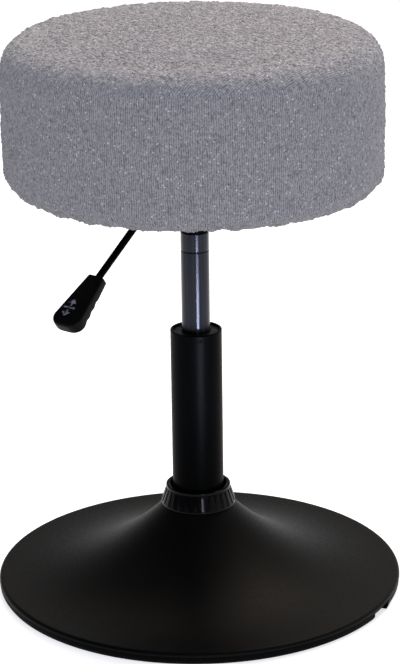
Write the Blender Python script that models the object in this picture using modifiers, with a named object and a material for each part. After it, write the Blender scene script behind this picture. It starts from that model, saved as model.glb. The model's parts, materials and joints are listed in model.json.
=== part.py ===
"""Swivel vanity stool: a drum seat in nubby fabric on a gas lift and a trumpet foot.

Metres, +Z up. The floor is z = 0 and the column stands on the Z axis. The seat and
its carrier are modelled with the lever along +X, then turned by SEAT_TURN.
"""
import math

import bmesh
import bpy
from mathutils import Matrix
from mathutils import Vector

MM = 0.001

# Fits
TOUCH = 0.3 * MM            # left between pieces that bear on each other or are welded
PLAY = 0.3 * MM             # radial play of what slides or turns
FREE_BORE = 2.0 * MM        # round a stud where nothing bears on it
EDGE = 0.6 * MM             # broken edge of turned and moulded pieces
CUT_OVER = 5.0 * MM         # that a cutting tool runs past what it cuts

# Foot
BASE_RADIUS = 203.3 * MM    # widest point, the edge of the flare
SHELL_WALL = 1.8 * MM
NECK_TOP = 95.0 * MM        # height of the shell's neck
NECK_BLEND = 11.0 * MM      # drop from the neck's top to the flare
NECK_SPREAD = 4.6 * MM      # growth in radius over that drop
FLARE_POWER = 2.35          # how fast the flare levels out
FLARE_EDGE = 12.0 * MM      # height of the flare where it turns down
RIM_ROLL = 3.4 * MM         # radius of the turned edge
LIP_INSET = 2.6 * MM        # the lip under the edge stands back this far
LIP_BOTTOM = 4.0 * MM       # the steel stops this far above the floor
SOCKET_WALL = 3.0 * MM
SOCKET_BOTTOM = 20.0 * MM
TRIM_WALL = 1.8 * MM
TRIM_SHY = 0.5 * MM         # of the strip behind the flare's edge
TRIM_GAP = 27.0 * MM        # between the two ends of the strip
TRIM_GAP_BEARING = math.radians(-28.5)

# Collar over the neck
COLLAR_RISE = 9.5 * MM      # above the neck's top
COLLAR_LIP_RADIUS = 32.3 * MM
COLLAR_LIP_HEIGHT = 3.4 * MM
COLLAR_LIP_WALL = 3.6 * MM
COLLAR_WALL = 1.2 * MM
COLLAR_RIBS = 28
COLLAR_RIB_DEPTH = 0.8 * MM

# Column
TUBE_RADIUS = 25.5 * MM
TUBE_WALL = 2.6 * MM
COLUMN_TOP = 268.0 * MM
COLUMN_BOTTOM = 22.0 * MM
COLUMN_TAPER = 1.0 * MM     # loss of radius down to the lower end
TUBE_LIP = 2.0 * MM         # thickness of the turned-in lower lip
TUBE_LIP_REACH = 3.0 * MM
FOOT_THICK = 4.0 * MM
BUSH_LENGTH = 76.0 * MM
BUSH_RECESS = 1.7 * MM      # below the tube's mouth

# Thrust bearing
BALL_COUNT = 8
BALL_RADIUS = 2.4 * MM
BALL_CIRCLE = 10.5 * MM
RACE_THICK = 2.0 * MM
RACE_RADIUS = 15.0 * MM
CAGE_THICK = 2.0 * MM
CAGE_WEB = 0.7 * MM         # metal left inside and outside each pocket

# Piston rod and what sits on it
ROD_RADIUS = 5.0 * MM
STUD_RADIUS = 4.0 * MM
ROD_TAIL = 3.5 * MM         # of stud below the clip
GROOVE_DEPTH = 0.8 * MM
WASHER_RADIUS = 9.5 * MM
WASHER_THICK = 1.5 * MM
CLIP_THICK = 1.1 * MM
CLIP_RADIUS = 7.0 * MM
BUFFER_RADIUS = 12.0 * MM
BUFFER_HEIGHT = 40.0 * MM
BUFFER_WAIST = 2.0 * MM
PISTON_HEIGHT = 14.0 * MM
PISTON_ABOVE_GLAND = 4.0 * MM
SEAL_SECTION = 0.85 * MM    # radius of the ring's round section
RIVET_RADIUS = 6.0 * MM
RIVET_HEIGHT = 2.2 * MM

# Lift cylinder
CYLINDER_RADIUS = 14.0 * MM
CYLINDER_WALL = 2.0 * MM
CYLINDER_INSERT = 108.0 * MM    # below the tube's mouth, fully raised
CYLINDER_LIP = 3.3 * MM         # reach of the turned-in ends
CYLINDER_LIP_THICK = 2.2 * MM
CYLINDER_GROOVE_DROP = 25.0 * MM    # rolled groove below the hub
CYLINDER_GROOVE_DEPTH = 0.6 * MM
CYLINDER_BARE = 9.0 * MM        # taper that shows below the hub
TAPER_LOSS = 0.8 * MM           # loss of radius over the taper
EXPOSED = 107.0 * MM            # from the tube's mouth to the hub, fully raised
GLAND_HEIGHT = 18.0 * MM
VALVE_HEIGHT = 26.0 * MM
BUTTON_RADIUS = 4.0 * MM
BUTTON_PROUD = 6.2 * MM
BUTTON_IN_VALVE = 20.0 * MM
BUTTON_DOME = 0.9 * MM

# Seat carrier
SEAT_TURN = math.radians(230.0)     # bearing of the lever
HUB_WALL = 4.7 * MM
HUB_LENGTH = 24.0 * MM
HUB_BELOW_WEB = 16.0 * MM
CYLINDER_ABOVE_HUB = 3.0 * MM
CHANNEL_WIDTH = 60.0 * MM
CHANNEL_FRONT = 52.0 * MM       # along the lever
CHANNEL_BACK = 45.0 * MM
SHEET = 2.5 * MM
PLATE_SIZE = 152.0 * MM
PLATE_CORNER = 14.0 * MM
PLATE_THICK = 2.5 * MM
PLATE_OPENING = 18.0 * MM
LEVER_ROOM = 6.4 * MM           # over the lever for its swing
BOLT_SPACING = 116.0 * MM
BOLT_RADIUS = 2.9 * MM
BOLT_HEAD = 5.6 * MM            # centre to corner
BOLT_HEAD_HEIGHT = 4.0 * MM
SPRING_WASHER_RADIUS = 6.0 * MM
SPRING_WASHER_THICK = 1.4 * MM
NUT_WALL = 1.5 * MM
NUT_FLANGE_RADIUS = 9.0 * MM
NUT_FLANGE_THICK = 1.5 * MM
NUT_ABOVE_BOARD_FACE = 3.0 * MM

# Lever
LEVER_RADIUS = 3.5 * MM
LEVER_OVERHANG = 9.0 * MM       # past the lift's axis
LEVER_PIVOT = 32.0 * MM         # from the lift's axis
LEVER_BEND = 61.7 * MM          # from the lift's axis
LEVER_BEND_RADIUS = 10.0 * MM
LEVER_SLOPE = math.radians(34.7)
LEVER_SHANK = 99.0 * MM         # from the bend to the handle
LEVER_IN_HANDLE = 30.0 * MM
SLEEVE_WALL = 1.7 * MM
PIN_RADIUS = 3.0 * MM
PIN_END = 3.4 * MM              # outside each wall
PIN_CLIP_THICK = 0.9 * MM
PIN_CLIP_RADIUS = 5.5 * MM
PIN_GROOVE_DEPTH = 0.7 * MM
HANDLE_LENGTH = 60.5 * MM
HANDLE_NECK_WIDTH = 19.0 * MM
HANDLE_END_WIDTH = 36.0 * MM
HANDLE_NECK_THICK = 10.5 * MM
HANDLE_END_THICK = 14.5 * MM
HANDLE_CORNER = 3.2 * MM
HANDLE_NOSE = 12.0 * MM         # length of the rounded end
HANDLE_TIP_HALF = 5.5 * MM      # half width of the flat at its very end
HANDLE_GRIPS = 3
HANDLE_GRIP_DEPTH = 1.1 * MM

# Seat
SEAT_RADIUS = 182.7 * MM
SEAT_DEPTH = 145.2 * MM         # from the lowest rim to the edge of the top
SEAT_CROWN = 2.4 * MM
SEAT_TOP_ROUND = 28.0 * MM
SEAT_LOW_ROUND = 21.0 * MM
SEAT_SIDE_SWELL = 1.2 * MM
SEAM_BEARING = math.radians(64.0)   # round the top edge, from straight up
SEAM_GAP = 0.5 * MM
SEAM_DIP = 1.1 * MM
COVER_THICK = 3.0 * MM
RIM_DROP = 8.3 * MM             # of the rim below the board
HEM_WIDTH = 18.0 * MM           # of band lying flat under the board
HEM_RUN_IN = 12.0 * MM          # over which it rises to the board
BOARD_THICK = 15.0 * MM
BOARD_INSET = 19.7 * MM         # of the board's edge from the outside
DUST_THICK = 0.8 * MM
DUST_STEP = 6.0 * MM            # inside the hem, where the cover starts to drop
DUST_CLEAR = 2.0 * MM           # inside the hem, where it has dropped

# Facets
STEPS_FOOT = 40
STEPS_SEAT = 32
STEPS_COLUMN = 24
STEPS_SMALL = 16
STEPS_TINY = 12

# Heights that follow from these, from the floor up
FOOT_LOW = COLUMN_BOTTOM + TUBE_LIP + TOUCH
FOOT_HIGH = FOOT_LOW + FOOT_THICK
LOWER_RACE_LOW = FOOT_HIGH + TOUCH
LOWER_RACE_HIGH = LOWER_RACE_LOW + RACE_THICK
BALL_HEIGHT = LOWER_RACE_HIGH + TOUCH + BALL_RADIUS
UPPER_RACE_LOW = BALL_HEIGHT + BALL_RADIUS + TOUCH
UPPER_RACE_HIGH = UPPER_RACE_LOW + RACE_THICK
ROD_SHOULDER = UPPER_RACE_HIGH + TOUCH
WASHER_LOW = FOOT_LOW - TOUCH - WASHER_THICK
CLIP_LOW = WASHER_LOW - TOUCH - CLIP_THICK
ROD_BOTTOM = CLIP_LOW - TOUCH - ROD_TAIL
CYLINDER_BOTTOM = COLUMN_TOP - CYLINDER_INSERT
GLAND_LOW = CYLINDER_BOTTOM + CYLINDER_LIP_THICK + TOUCH
GLAND_HIGH = GLAND_LOW + GLAND_HEIGHT
PISTON_LOW = GLAND_HIGH + PISTON_ABOVE_GLAND
PISTON_HIGH = PISTON_LOW + PISTON_HEIGHT
HUB_LOW = COLUMN_TOP + EXPOSED
HUB_HIGH = HUB_LOW + HUB_LENGTH
TAPER_LOW = HUB_LOW - CYLINDER_BARE
CYLINDER_TOP = HUB_HIGH + CYLINDER_ABOVE_HUB
VALVE_HIGH = CYLINDER_TOP - CYLINDER_LIP_THICK - TOUCH
VALVE_LOW = VALVE_HIGH - VALVE_HEIGHT
BUTTON_TOP = CYLINDER_TOP + BUTTON_PROUD
LEVER_HEIGHT = BUTTON_TOP + TOUCH + LEVER_RADIUS
SLEEVE_RADIUS = PIN_RADIUS + PLAY + SLEEVE_WALL
PIVOT_HEIGHT = LEVER_HEIGHT - LEVER_RADIUS - TOUCH - SLEEVE_RADIUS
WEB_LOW = HUB_LOW + HUB_BELOW_WEB
PLATE_LOW = LEVER_HEIGHT + LEVER_RADIUS + LEVER_ROOM
PLATE_HIGH = PLATE_LOW + PLATE_THICK
DUST_LOW = PLATE_HIGH + TOUCH
DUST_HIGH = DUST_LOW + DUST_THICK
BOARD_LOW = DUST_HIGH + TOUCH
BOARD_HIGH = BOARD_LOW + BOARD_THICK
SEAT_LOW = BOARD_LOW - RIM_DROP
SEAT_HIGH = SEAT_LOW + SEAT_DEPTH

# Radii that follow
TUBE_BORE = TUBE_RADIUS - TUBE_WALL
SOCKET_RADIUS = TUBE_RADIUS + TOUCH + SOCKET_WALL
NECK_BORE = SOCKET_RADIUS + TOUCH
NECK_RADIUS = NECK_BORE + SHELL_WALL
FLARE_TOP = NECK_TOP - NECK_BLEND
FLARE_RADIUS = NECK_RADIUS + NECK_SPREAD
LIP_RADIUS = BASE_RADIUS - LIP_INSET
CYLINDER_BORE = CYLINDER_RADIUS - CYLINDER_WALL
PISTON_RADIUS = CYLINDER_BORE - PLAY
BOARD_RADIUS = SEAT_RADIUS - BOARD_INSET
LOW_ROUND_RADIUS = SEAT_RADIUS - SEAT_LOW_ROUND
HEM_OUTER = LOW_ROUND_RADIUS - HEM_RUN_IN
HEM_INNER = HEM_OUTER - HEM_WIDTH
HEM_LOW = BOARD_LOW - TOUCH - COVER_THICK


def clear_scene():
    """Remove whatever the file opens with."""
    for thing in list(bpy.data.objects):
        bpy.data.objects.remove(thing, do_unlink=True)


def make_collection(name):
    collection = bpy.data.collections.new(name)
    bpy.context.scene.collection.children.link(collection)
    return collection


clear_scene()
STOOL = make_collection("vanity_stool")
CUTTERS = make_collection("cutters")


def srgb(text):
    """Linear colour of a six-digit hex colour."""
    channels = [int(text[i:i + 2], 16) / 255.0 for i in (0, 2, 4)]
    return [c / 12.92 if c <= 0.04045 else ((c + 0.055) / 1.055) ** 2.4 for c in channels] + [1.0]


def finish(name, colour, roughness, metallic=0.0):
    """One plain Principled material."""
    material = bpy.data.materials.new(name)
    material.use_nodes = True
    shader = material.node_tree.nodes["Principled BSDF"]
    shader.inputs["Base Color"].default_value = srgb(colour)
    shader.inputs["Roughness"].default_value = roughness
    shader.inputs["Metallic"].default_value = metallic
    return material


BLACK_COAT = finish("black_powder_coat", "17181a", 0.5)
GLOSS_BLACK = finish("gloss_black_steel", "26282e", 0.18)
BLACK_RUBBER = finish("black_rubber", "121213", 0.8)
BLACK_PLASTIC = finish("black_plastic", "151516", 0.5)
GREY_PLASTIC = finish("grey_plastic", "4a4b4d", 0.5)
ZINC_STEEL = finish("zinc_steel", "b4b7ba", 0.35, 1.0)
ALUMINIUM = finish("turned_aluminium", "c9cbcd", 0.4, 1.0)
PLYWOOD = finish("plywood", "b99768", 0.7)
FOAM = finish("seat_foam", "e6dfc8", 0.9)
BOUCLE = finish("grey_boucle", "9d9a9b", 0.95)
NONWOVEN = finish("black_nonwoven", "1d1d1e", 0.95)


def anchor(name, place=(0.0, 0.0, 0.0), turn=0.0, parent=None):
    """An empty that carries the pieces of one assembly."""
    empty = bpy.data.objects.new(name, None)
    empty.location = place
    empty.rotation_euler = (0.0, 0.0, turn)
    empty.parent = parent
    STOOL.objects.link(empty)
    return empty


def place_piece(piece, material, parent):
    if material is not None:
        piece.data.materials.append(material)
    piece.parent = parent
    STOOL.objects.link(piece)
    return piece


def turned(name, profile, steps, material, parent=None):
    """Turn a profile of (radius, height) round Z.

    It runs down the outer side. One that starts and ends on the axis is a solid of
    revolution, and any other is closed into a ring.
    """
    mesh = bpy.data.meshes.new(name)
    corners = [(radius, 0.0, height) for radius, height in profile]
    edges = [(i, i + 1) for i in range(len(corners) - 1)]
    on_axis = profile[0][0] == 0.0 and profile[-1][0] == 0.0
    if not on_axis:
        edges.append((len(corners) - 1, 0))
    mesh.from_pydata(corners, edges, [])
    piece = bpy.data.objects.new(name, mesh)
    screw = piece.modifiers.new("turn", "SCREW")
    screw.axis = "Z"
    screw.angle = math.tau
    screw.steps = steps
    screw.render_steps = steps
    screw.use_merge_vertices = True
    screw.merge_threshold = 0.00001
    screw.use_smooth_shade = True
    return place_piece(piece, material, parent)


def ring(name, inner, outer, low, high, steps, material, parent=None):
    """A plain ring of rectangular section."""
    profile = [(outer, high), (outer, low), (inner, low), (inner, high)]
    return turned(name, profile, steps, material, parent)


def inside(path, depth):
    """The path moved to its inner side by depth, with mitred corners."""
    moved = []
    last = len(path) - 1
    for i, point in enumerate(path):
        here = Vector(point)
        normals = []
        if i > 0:
            along = (here - Vector(path[i - 1])).normalized()
            normals.append(Vector((along.y, -along.x)))
        if i < last:
            along = (Vector(path[i + 1]) - here).normalized()
            normals.append(Vector((along.y, -along.x)))
        normal = sum(normals, Vector((0.0, 0.0))).normalized()
        stretch = 1.0 / max(0.4, normal.dot(normals[0]))
        new = here + normal * depth * stretch
        if point[0] == 0.0:
            new.x = 0.0
        moved.append((new.x, new.y))
    return moved


def arc(centre, radius, start, end, count):
    """Points on a circle, with the bearing measured from straight up towards +radius."""
    points = []
    for i in range(count + 1):
        bearing = start + (end - start) * i / count
        across = centre[0] + radius * math.sin(bearing)
        height = centre[1] + radius * math.cos(bearing)
        points.append((across, height))
    return points


def cutter(name, mesh, parent=None):
    """Keep a tool for cutting out of the part itself."""
    tool = bpy.data.objects.new(name, mesh)
    tool.parent = parent
    tool.hide_render = True
    tool.display_type = "WIRE"
    CUTTERS.objects.link(tool)
    return tool


def pegs(name, places, radius, low, high, sides, parent=None):
    """A cutter with one upright peg at each place."""
    shape = bmesh.new()
    for x, y in places:
        centre = Matrix.Translation((x, y, (low + high) / 2))
        bmesh.ops.create_cone(shape, cap_ends=True, segments=sides, radius1=radius,
                              radius2=radius, depth=high - low, matrix=centre)
    mesh = bpy.data.meshes.new(name)
    shape.to_mesh(mesh)
    shape.free()
    return cutter(name, mesh, parent)


def cross_peg(name, place, radius, length, sides, parent=None):
    """A cutter with one peg along Y."""
    shape = bmesh.new()
    lying = Matrix.Translation(place) @ Matrix.Rotation(math.pi / 2, 4, "X")
    bmesh.ops.create_cone(shape, cap_ends=True, segments=sides, radius1=radius,
                          radius2=radius, depth=length, matrix=lying)
    mesh = bpy.data.meshes.new(name)
    shape.to_mesh(mesh)
    shape.free()
    return cutter(name, mesh, parent)


def block(name, low, high, parent=None, turn=0.0):
    """A cutter in the shape of a box between two corners, turned about Z."""
    shape = bmesh.new()
    size = Vector(high) - Vector(low)
    centre = (Vector(high) + Vector(low)) / 2
    frame = Matrix.Rotation(turn, 4, "Z") @ Matrix.Translation(centre) @ Matrix.Diagonal(size.to_4d())
    bmesh.ops.create_cube(shape, size=1.0, matrix=frame)
    mesh = bpy.data.meshes.new(name)
    shape.to_mesh(mesh)
    shape.free()
    return cutter(name, mesh, parent)


def cut(piece, tool, operation="DIFFERENCE"):
    modifier = piece.modifiers.new(tool.name, "BOOLEAN")
    modifier.operation = operation
    modifier.solver = "EXACT"
    modifier.object = tool
    return piece


# Foot

def flare_height(radius):
    """Height of the flare's outer face."""
    edge = BASE_RADIUS - RIM_ROLL
    share = (edge - radius) / (edge - FLARE_RADIUS)
    return FLARE_EDGE + (FLARE_TOP - FLARE_EDGE) * share ** FLARE_POWER


def flare_path():
    """Outer face of the shell from the neck's top to the edge."""
    path = [(NECK_RADIUS, NECK_TOP)]
    blend_start = NECK_TOP - 0.18 * NECK_BLEND
    reach = math.radians(60.0)
    for i in range(3):
        bearing = reach * i / 3
        out = NECK_SPREAD * (1.0 - math.cos(bearing)) / (1.0 - math.cos(reach))
        down = (blend_start - FLARE_TOP) * math.sin(bearing) / math.sin(reach)
        path.append((NECK_RADIUS + out, blend_start - down))
    edge = BASE_RADIUS - RIM_ROLL
    for share in (0.0, 0.06, 0.14, 0.24, 0.38, 0.55, 0.76, 1.0):
        radius = FLARE_RADIUS + (edge - FLARE_RADIUS) * share
        path.append((radius, flare_height(radius)))
    return path


def build_foot():
    face = flare_path()
    edge_centre = (BASE_RADIUS - RIM_ROLL, FLARE_EDGE - RIM_ROLL)
    rim = arc(edge_centre, RIM_ROLL, math.radians(30.0), math.radians(90.0), 2)
    under_edge = FLARE_EDGE - RIM_ROLL - EDGE
    outer = face + rim + [(BASE_RADIUS, under_edge), (LIP_RADIUS, under_edge), (LIP_RADIUS, LIP_BOTTOM)]
    back = inside(face, SHELL_WALL)
    lip_back = LIP_RADIUS - SHELL_WALL
    back[-1] = (lip_back, FLARE_EDGE - SHELL_WALL)
    back[0] = (NECK_BORE, NECK_TOP)
    back.append((lip_back, LIP_BOTTOM))
    turned("trumpet_base_shell", outer + back[::-1], STEPS_FOOT, BLACK_COAT)

    taper = COLUMN_TAPER * (NECK_TOP - SOCKET_BOTTOM) / (NECK_TOP - COLUMN_BOTTOM)
    bore_top = TUBE_RADIUS + TOUCH
    bore_low = bore_top - taper
    socket = [(SOCKET_RADIUS, NECK_TOP), (SOCKET_RADIUS, SOCKET_BOTTOM),
              (bore_low, SOCKET_BOTTOM), (bore_top, NECK_TOP)]
    turned("base_socket", socket, STEPS_COLUMN, BLACK_COAT)

    outside = BASE_RADIUS - TRIM_SHY
    slot_out = LIP_RADIUS + TOUCH
    slot_in = lip_back - TOUCH
    inner = slot_in - TRIM_WALL
    top = under_edge - TOUCH
    floor = LIP_BOTTOM - TOUCH
    strip = [(outside, top), (outside, 0.4 * top), (outside - EDGE, 0.12 * top),
             (slot_out - EDGE, 0.0), (inner + EDGE, 0.0), (inner, 0.12 * top),
             (inner, top), (slot_in, top), (slot_in, floor), (slot_out, floor), (slot_out, top)]
    trim = turned("edge_trim_ring", strip, STEPS_FOOT, BLACK_RUBBER)
    notch = block("trim_notch", (inner - CUT_OVER, -TRIM_GAP / 2, -CUT_OVER),
                  (outside + CUT_OVER, TRIM_GAP / 2, top + CUT_OVER), turn=TRIM_GAP_BEARING)
    cut(trim, notch)
    build_collar()


def build_collar():
    """A ring with ribs down its skirt, sitting on the flare round the column."""
    top = NECK_TOP + COLLAR_RISE
    low = FLARE_TOP + TOUCH
    lip_low = top - COLLAR_LIP_HEIGHT
    lip_bore = COLLAR_LIP_RADIUS - COLLAR_LIP_WALL
    skirt_top = COLLAR_LIP_RADIUS - 0.4 * EDGE
    skirt_bore = FLARE_RADIUS + TOUCH
    skirt_low = skirt_bore + COLLAR_WALL
    profile = [
        (COLLAR_LIP_RADIUS - EDGE, top, 0.0),
        (COLLAR_LIP_RADIUS, top - EDGE, 0.0),
        (COLLAR_LIP_RADIUS, lip_low, 0.0),
        (skirt_top, lip_low - EDGE, COLLAR_RIB_DEPTH),
        (skirt_low, low + 2.0 * EDGE, COLLAR_RIB_DEPTH),
        (skirt_low, low, 0.0),
        (skirt_bore, low, 0.0),
        (NECK_RADIUS + TOUCH, NECK_TOP + TOUCH, 0.0),
        (lip_bore, lip_low, 0.0),
        (lip_bore, top, 0.0),
    ]
    shape = bmesh.new()
    columns = []
    steps = 2 * COLLAR_RIBS
    for i in range(steps):
        bearing = math.tau * i / steps
        column = []
        for radius, height, rib in profile:
            reach = radius + (rib if i % 2 else 0.0)
            column.append(shape.verts.new((reach * math.cos(bearing), reach * math.sin(bearing), height)))
        columns.append(column)
    count = len(profile)
    for i in range(steps):
        here = columns[i]
        there = columns[(i + 1) % steps]
        for k in range(count):
            after = (k + 1) % count
            shape.faces.new((here[k], here[after], there[after], there[k]))
    bmesh.ops.recalc_face_normals(shape, faces=shape.faces)
    mesh = bpy.data.meshes.new("ribbed_collar")
    shape.to_mesh(mesh)
    shape.free()
    place_piece(bpy.data.objects.new("ribbed_collar", mesh), BLACK_PLASTIC, None)


# Column, bearing and rod

def build_column():
    taper_top = NECK_TOP
    low_radius = TUBE_RADIUS - COLUMN_TAPER
    lip_bore = TUBE_BORE - TUBE_LIP_REACH
    tube = [(TUBE_RADIUS - EDGE, COLUMN_TOP), (TUBE_RADIUS, COLUMN_TOP - EDGE),
            (TUBE_RADIUS, taper_top), (low_radius, COLUMN_BOTTOM), (lip_bore, COLUMN_BOTTOM),
            (lip_bore, COLUMN_BOTTOM + TUBE_LIP), (TUBE_BORE, COLUMN_BOTTOM + TUBE_LIP),
            (TUBE_BORE, COLUMN_TOP)]
    turned("outer_tube", tube, STEPS_COLUMN, BLACK_COAT)
    ring("tube_foot", STUD_RADIUS + FREE_BORE, TUBE_BORE - TOUCH, FOOT_LOW, FOOT_HIGH,
         STEPS_COLUMN, ZINC_STEEL)

    bush_high = COLUMN_TOP - BUSH_RECESS
    bore = CYLINDER_RADIUS + PLAY
    outer = TUBE_BORE - TOUCH
    bush = [(outer - EDGE, bush_high), (outer, bush_high - EDGE),
            (outer, bush_high - BUSH_LENGTH), (bore, bush_high - BUSH_LENGTH),
            (bore, bush_high - EDGE), (bore + EDGE, bush_high)]
    turned("guide_bush", bush, STEPS_COLUMN, GREY_PLASTIC)


def build_bearing():
    ring("lower_race", STUD_RADIUS + FREE_BORE, RACE_RADIUS, LOWER_RACE_LOW, LOWER_RACE_HIGH,
         STEPS_SMALL, ZINC_STEEL)
    cage_axis = anchor("cage_axis")
    pocket = BALL_RADIUS + PLAY
    half = CAGE_THICK / 2
    cage = ring("ball_cage", BALL_CIRCLE - pocket - CAGE_WEB, BALL_CIRCLE + pocket + CAGE_WEB,
                BALL_HEIGHT - half, BALL_HEIGHT + half, 2 * BALL_COUNT, ZINC_STEEL, cage_axis)
    places = []
    for i in range(BALL_COUNT):
        bearing = math.tau * (i + 0.5) / BALL_COUNT
        places.append((BALL_CIRCLE * math.cos(bearing), BALL_CIRCLE * math.sin(bearing)))
    reach = 2.0 * BALL_RADIUS
    cut(cage, pegs("cage_pockets", places, pocket, BALL_HEIGHT - reach, BALL_HEIGHT + reach,
                   8, cage_axis))
    for i, (x, y) in enumerate(places):
        shape = bmesh.new()
        bmesh.ops.create_uvsphere(shape, u_segments=10, v_segments=6, radius=BALL_RADIUS)
        mesh = bpy.data.meshes.new("ball")
        shape.to_mesh(mesh)
        shape.free()
        ball = bpy.data.objects.new("ball_%d" % (i + 1), mesh)
        ball.location = (x, y, BALL_HEIGHT)
        place_piece(ball, ZINC_STEEL, cage_axis)


def build_rod(swivel):
    ring("upper_race", STUD_RADIUS + TOUCH, RACE_RADIUS, UPPER_RACE_LOW, UPPER_RACE_HIGH,
         STEPS_SMALL, ZINC_STEEL, swivel)
    neck = STUD_RADIUS - GROOVE_DEPTH
    clip_high = CLIP_LOW + CLIP_THICK
    rivet_low = PISTON_HIGH + TOUCH
    rivet_high = rivet_low + RIVET_HEIGHT
    seat_low = PISTON_LOW - TOUCH
    rod = [(0.0, rivet_high), (0.7 * RIVET_RADIUS, rivet_high), (RIVET_RADIUS, rivet_low + EDGE),
           (RIVET_RADIUS, rivet_low), (STUD_RADIUS, rivet_low), (STUD_RADIUS, seat_low),
           (ROD_RADIUS, seat_low), (ROD_RADIUS, ROD_SHOULDER), (STUD_RADIUS, ROD_SHOULDER),
           (STUD_RADIUS, clip_high + TOUCH), (neck, clip_high + TOUCH), (neck, CLIP_LOW - TOUCH),
           (STUD_RADIUS, CLIP_LOW - TOUCH), (STUD_RADIUS, ROD_BOTTOM + EDGE),
           (STUD_RADIUS - EDGE, ROD_BOTTOM), (0.0, ROD_BOTTOM)]
    turned("piston_rod", rod, STEPS_SMALL, ZINC_STEEL, swivel)
    ring("foot_washer", STUD_RADIUS + TOUCH, WASHER_RADIUS, WASHER_LOW, WASHER_LOW + WASHER_THICK,
         STEPS_SMALL, ZINC_STEEL, swivel)
    clip = ring("foot_clip", neck + TOUCH, CLIP_RADIUS, CLIP_LOW, clip_high, STEPS_SMALL,
                ZINC_STEEL, swivel)
    half_mouth = 0.7 * neck
    mouth = block("clip_mouth", (0.0, -half_mouth, CLIP_LOW - CUT_OVER),
                  (2.0 * CLIP_RADIUS, half_mouth, clip_high + CUT_OVER), swivel)
    cut(clip, mouth)

    low = ROD_SHOULDER
    high = low + BUFFER_HEIGHT
    bore = ROD_RADIUS + TOUCH
    waist = BUFFER_RADIUS - BUFFER_WAIST
    round_off = 3.0 * EDGE
    buffer = [(BUFFER_RADIUS - round_off, high), (BUFFER_RADIUS, high - round_off),
              (waist, low + 0.5 * BUFFER_HEIGHT), (BUFFER_RADIUS, low + round_off),
              (BUFFER_RADIUS, low), (bore, low), (bore, high)]
    turned("rubber_buffer", buffer, STEPS_SMALL, BLACK_RUBBER, swivel)

    middle = (PISTON_LOW + PISTON_HIGH) / 2
    groove = PISTON_RADIUS - 2.0 * SEAL_SECTION - 0.5 * TOUCH
    half = SEAL_SECTION + TOUCH
    piston_bore = STUD_RADIUS + TOUCH
    piston = [(PISTON_RADIUS - EDGE, PISTON_HIGH), (PISTON_RADIUS, PISTON_HIGH - EDGE),
              (PISTON_RADIUS, middle + half), (groove, middle + half), (groove, middle - half),
              (PISTON_RADIUS, middle - half), (PISTON_RADIUS, PISTON_LOW), (piston_bore, PISTON_LOW),
              (piston_bore, PISTON_HIGH)]
    turned("piston", piston, STEPS_COLUMN, ALUMINIUM, swivel)
    centre = groove + 0.6 * TOUCH + SEAL_SECTION
    section = arc((centre, middle), SEAL_SECTION, 0.0, math.tau, 6)[:-1]
    turned("piston_seal", section, STEPS_COLUMN, BLACK_RUBBER, swivel)


# Lift

def taper_radius(height):
    """Radius of the cylinder's upper taper."""
    return CYLINDER_RADIUS - TAPER_LOSS * (height - TAPER_LOW) / (CYLINDER_TOP - TAPER_LOW)


def build_lift(seat):
    groove = HUB_LOW - CYLINDER_GROOVE_DROP
    lip_bore = CYLINDER_BORE - CYLINDER_LIP
    lip = CYLINDER_LIP_THICK
    floor = CYLINDER_RADIUS - CYLINDER_GROOVE_DEPTH
    cylinder = [(taper_radius(CYLINDER_TOP) - EDGE, CYLINDER_TOP),
                (taper_radius(CYLINDER_TOP), CYLINDER_TOP - EDGE),
                (CYLINDER_RADIUS, TAPER_LOW),
                (CYLINDER_RADIUS, groove + 1.5 * CYLINDER_GROOVE_DEPTH),
                (floor, groove + 0.5 * CYLINDER_GROOVE_DEPTH),
                (floor, groove - 0.5 * CYLINDER_GROOVE_DEPTH),
                (CYLINDER_RADIUS, groove - 1.5 * CYLINDER_GROOVE_DEPTH),
                (CYLINDER_RADIUS, CYLINDER_BOTTOM + EDGE),
                (CYLINDER_RADIUS - EDGE, CYLINDER_BOTTOM),
                (lip_bore, CYLINDER_BOTTOM), (lip_bore, CYLINDER_BOTTOM + lip),
                (CYLINDER_BORE, CYLINDER_BOTTOM + lip), (CYLINDER_BORE, CYLINDER_TOP - lip),
                (lip_bore, CYLINDER_TOP - lip), (lip_bore, CYLINDER_TOP)]
    turned("lift_cylinder", cylinder, STEPS_COLUMN, GLOSS_BLACK, seat)

    plug = CYLINDER_BORE - TOUCH
    ring("rod_gland", ROD_RADIUS + PLAY, plug, GLAND_LOW, GLAND_HIGH, STEPS_COLUMN, BLACK_PLASTIC, seat)

    neck = lip_bore - TOUCH
    bore = BUTTON_RADIUS + PLAY
    neck_high = CYLINDER_TOP - EDGE
    valve = [(neck, neck_high), (neck, VALVE_HIGH), (plug, VALVE_HIGH), (plug, VALVE_LOW),
             (bore, VALVE_LOW), (bore, neck_high)]
    turned("valve_body", valve, STEPS_COLUMN, ALUMINIUM, seat)
    low = CYLINDER_TOP - BUTTON_IN_VALVE
    button = [(0.0, BUTTON_TOP), (0.5 * BUTTON_RADIUS, BUTTON_TOP - 0.25 * BUTTON_DOME),
              (BUTTON_RADIUS, BUTTON_TOP - BUTTON_DOME), (BUTTON_RADIUS, low), (0.0, low)]
    turned("release_button", button, STEPS_SMALL, ZINC_STEEL, seat)


# Seat carrier

def rounded_outline(curve, width, corner):
    """Add a square with rounded corners to a flat curve."""
    half = width / 2
    points = []
    centre = half - corner
    for quarter in range(4):
        for i in range(4):
            bearing = math.pi / 2 * (quarter + i / 3)
            x = math.copysign(centre, math.cos(math.pi / 4 + math.pi / 2 * quarter))
            y = math.copysign(centre, math.sin(math.pi / 4 + math.pi / 2 * quarter))
            points.append((x + corner * math.cos(bearing), y + corner * math.sin(bearing)))
    closed_spline(curve, points)


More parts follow.
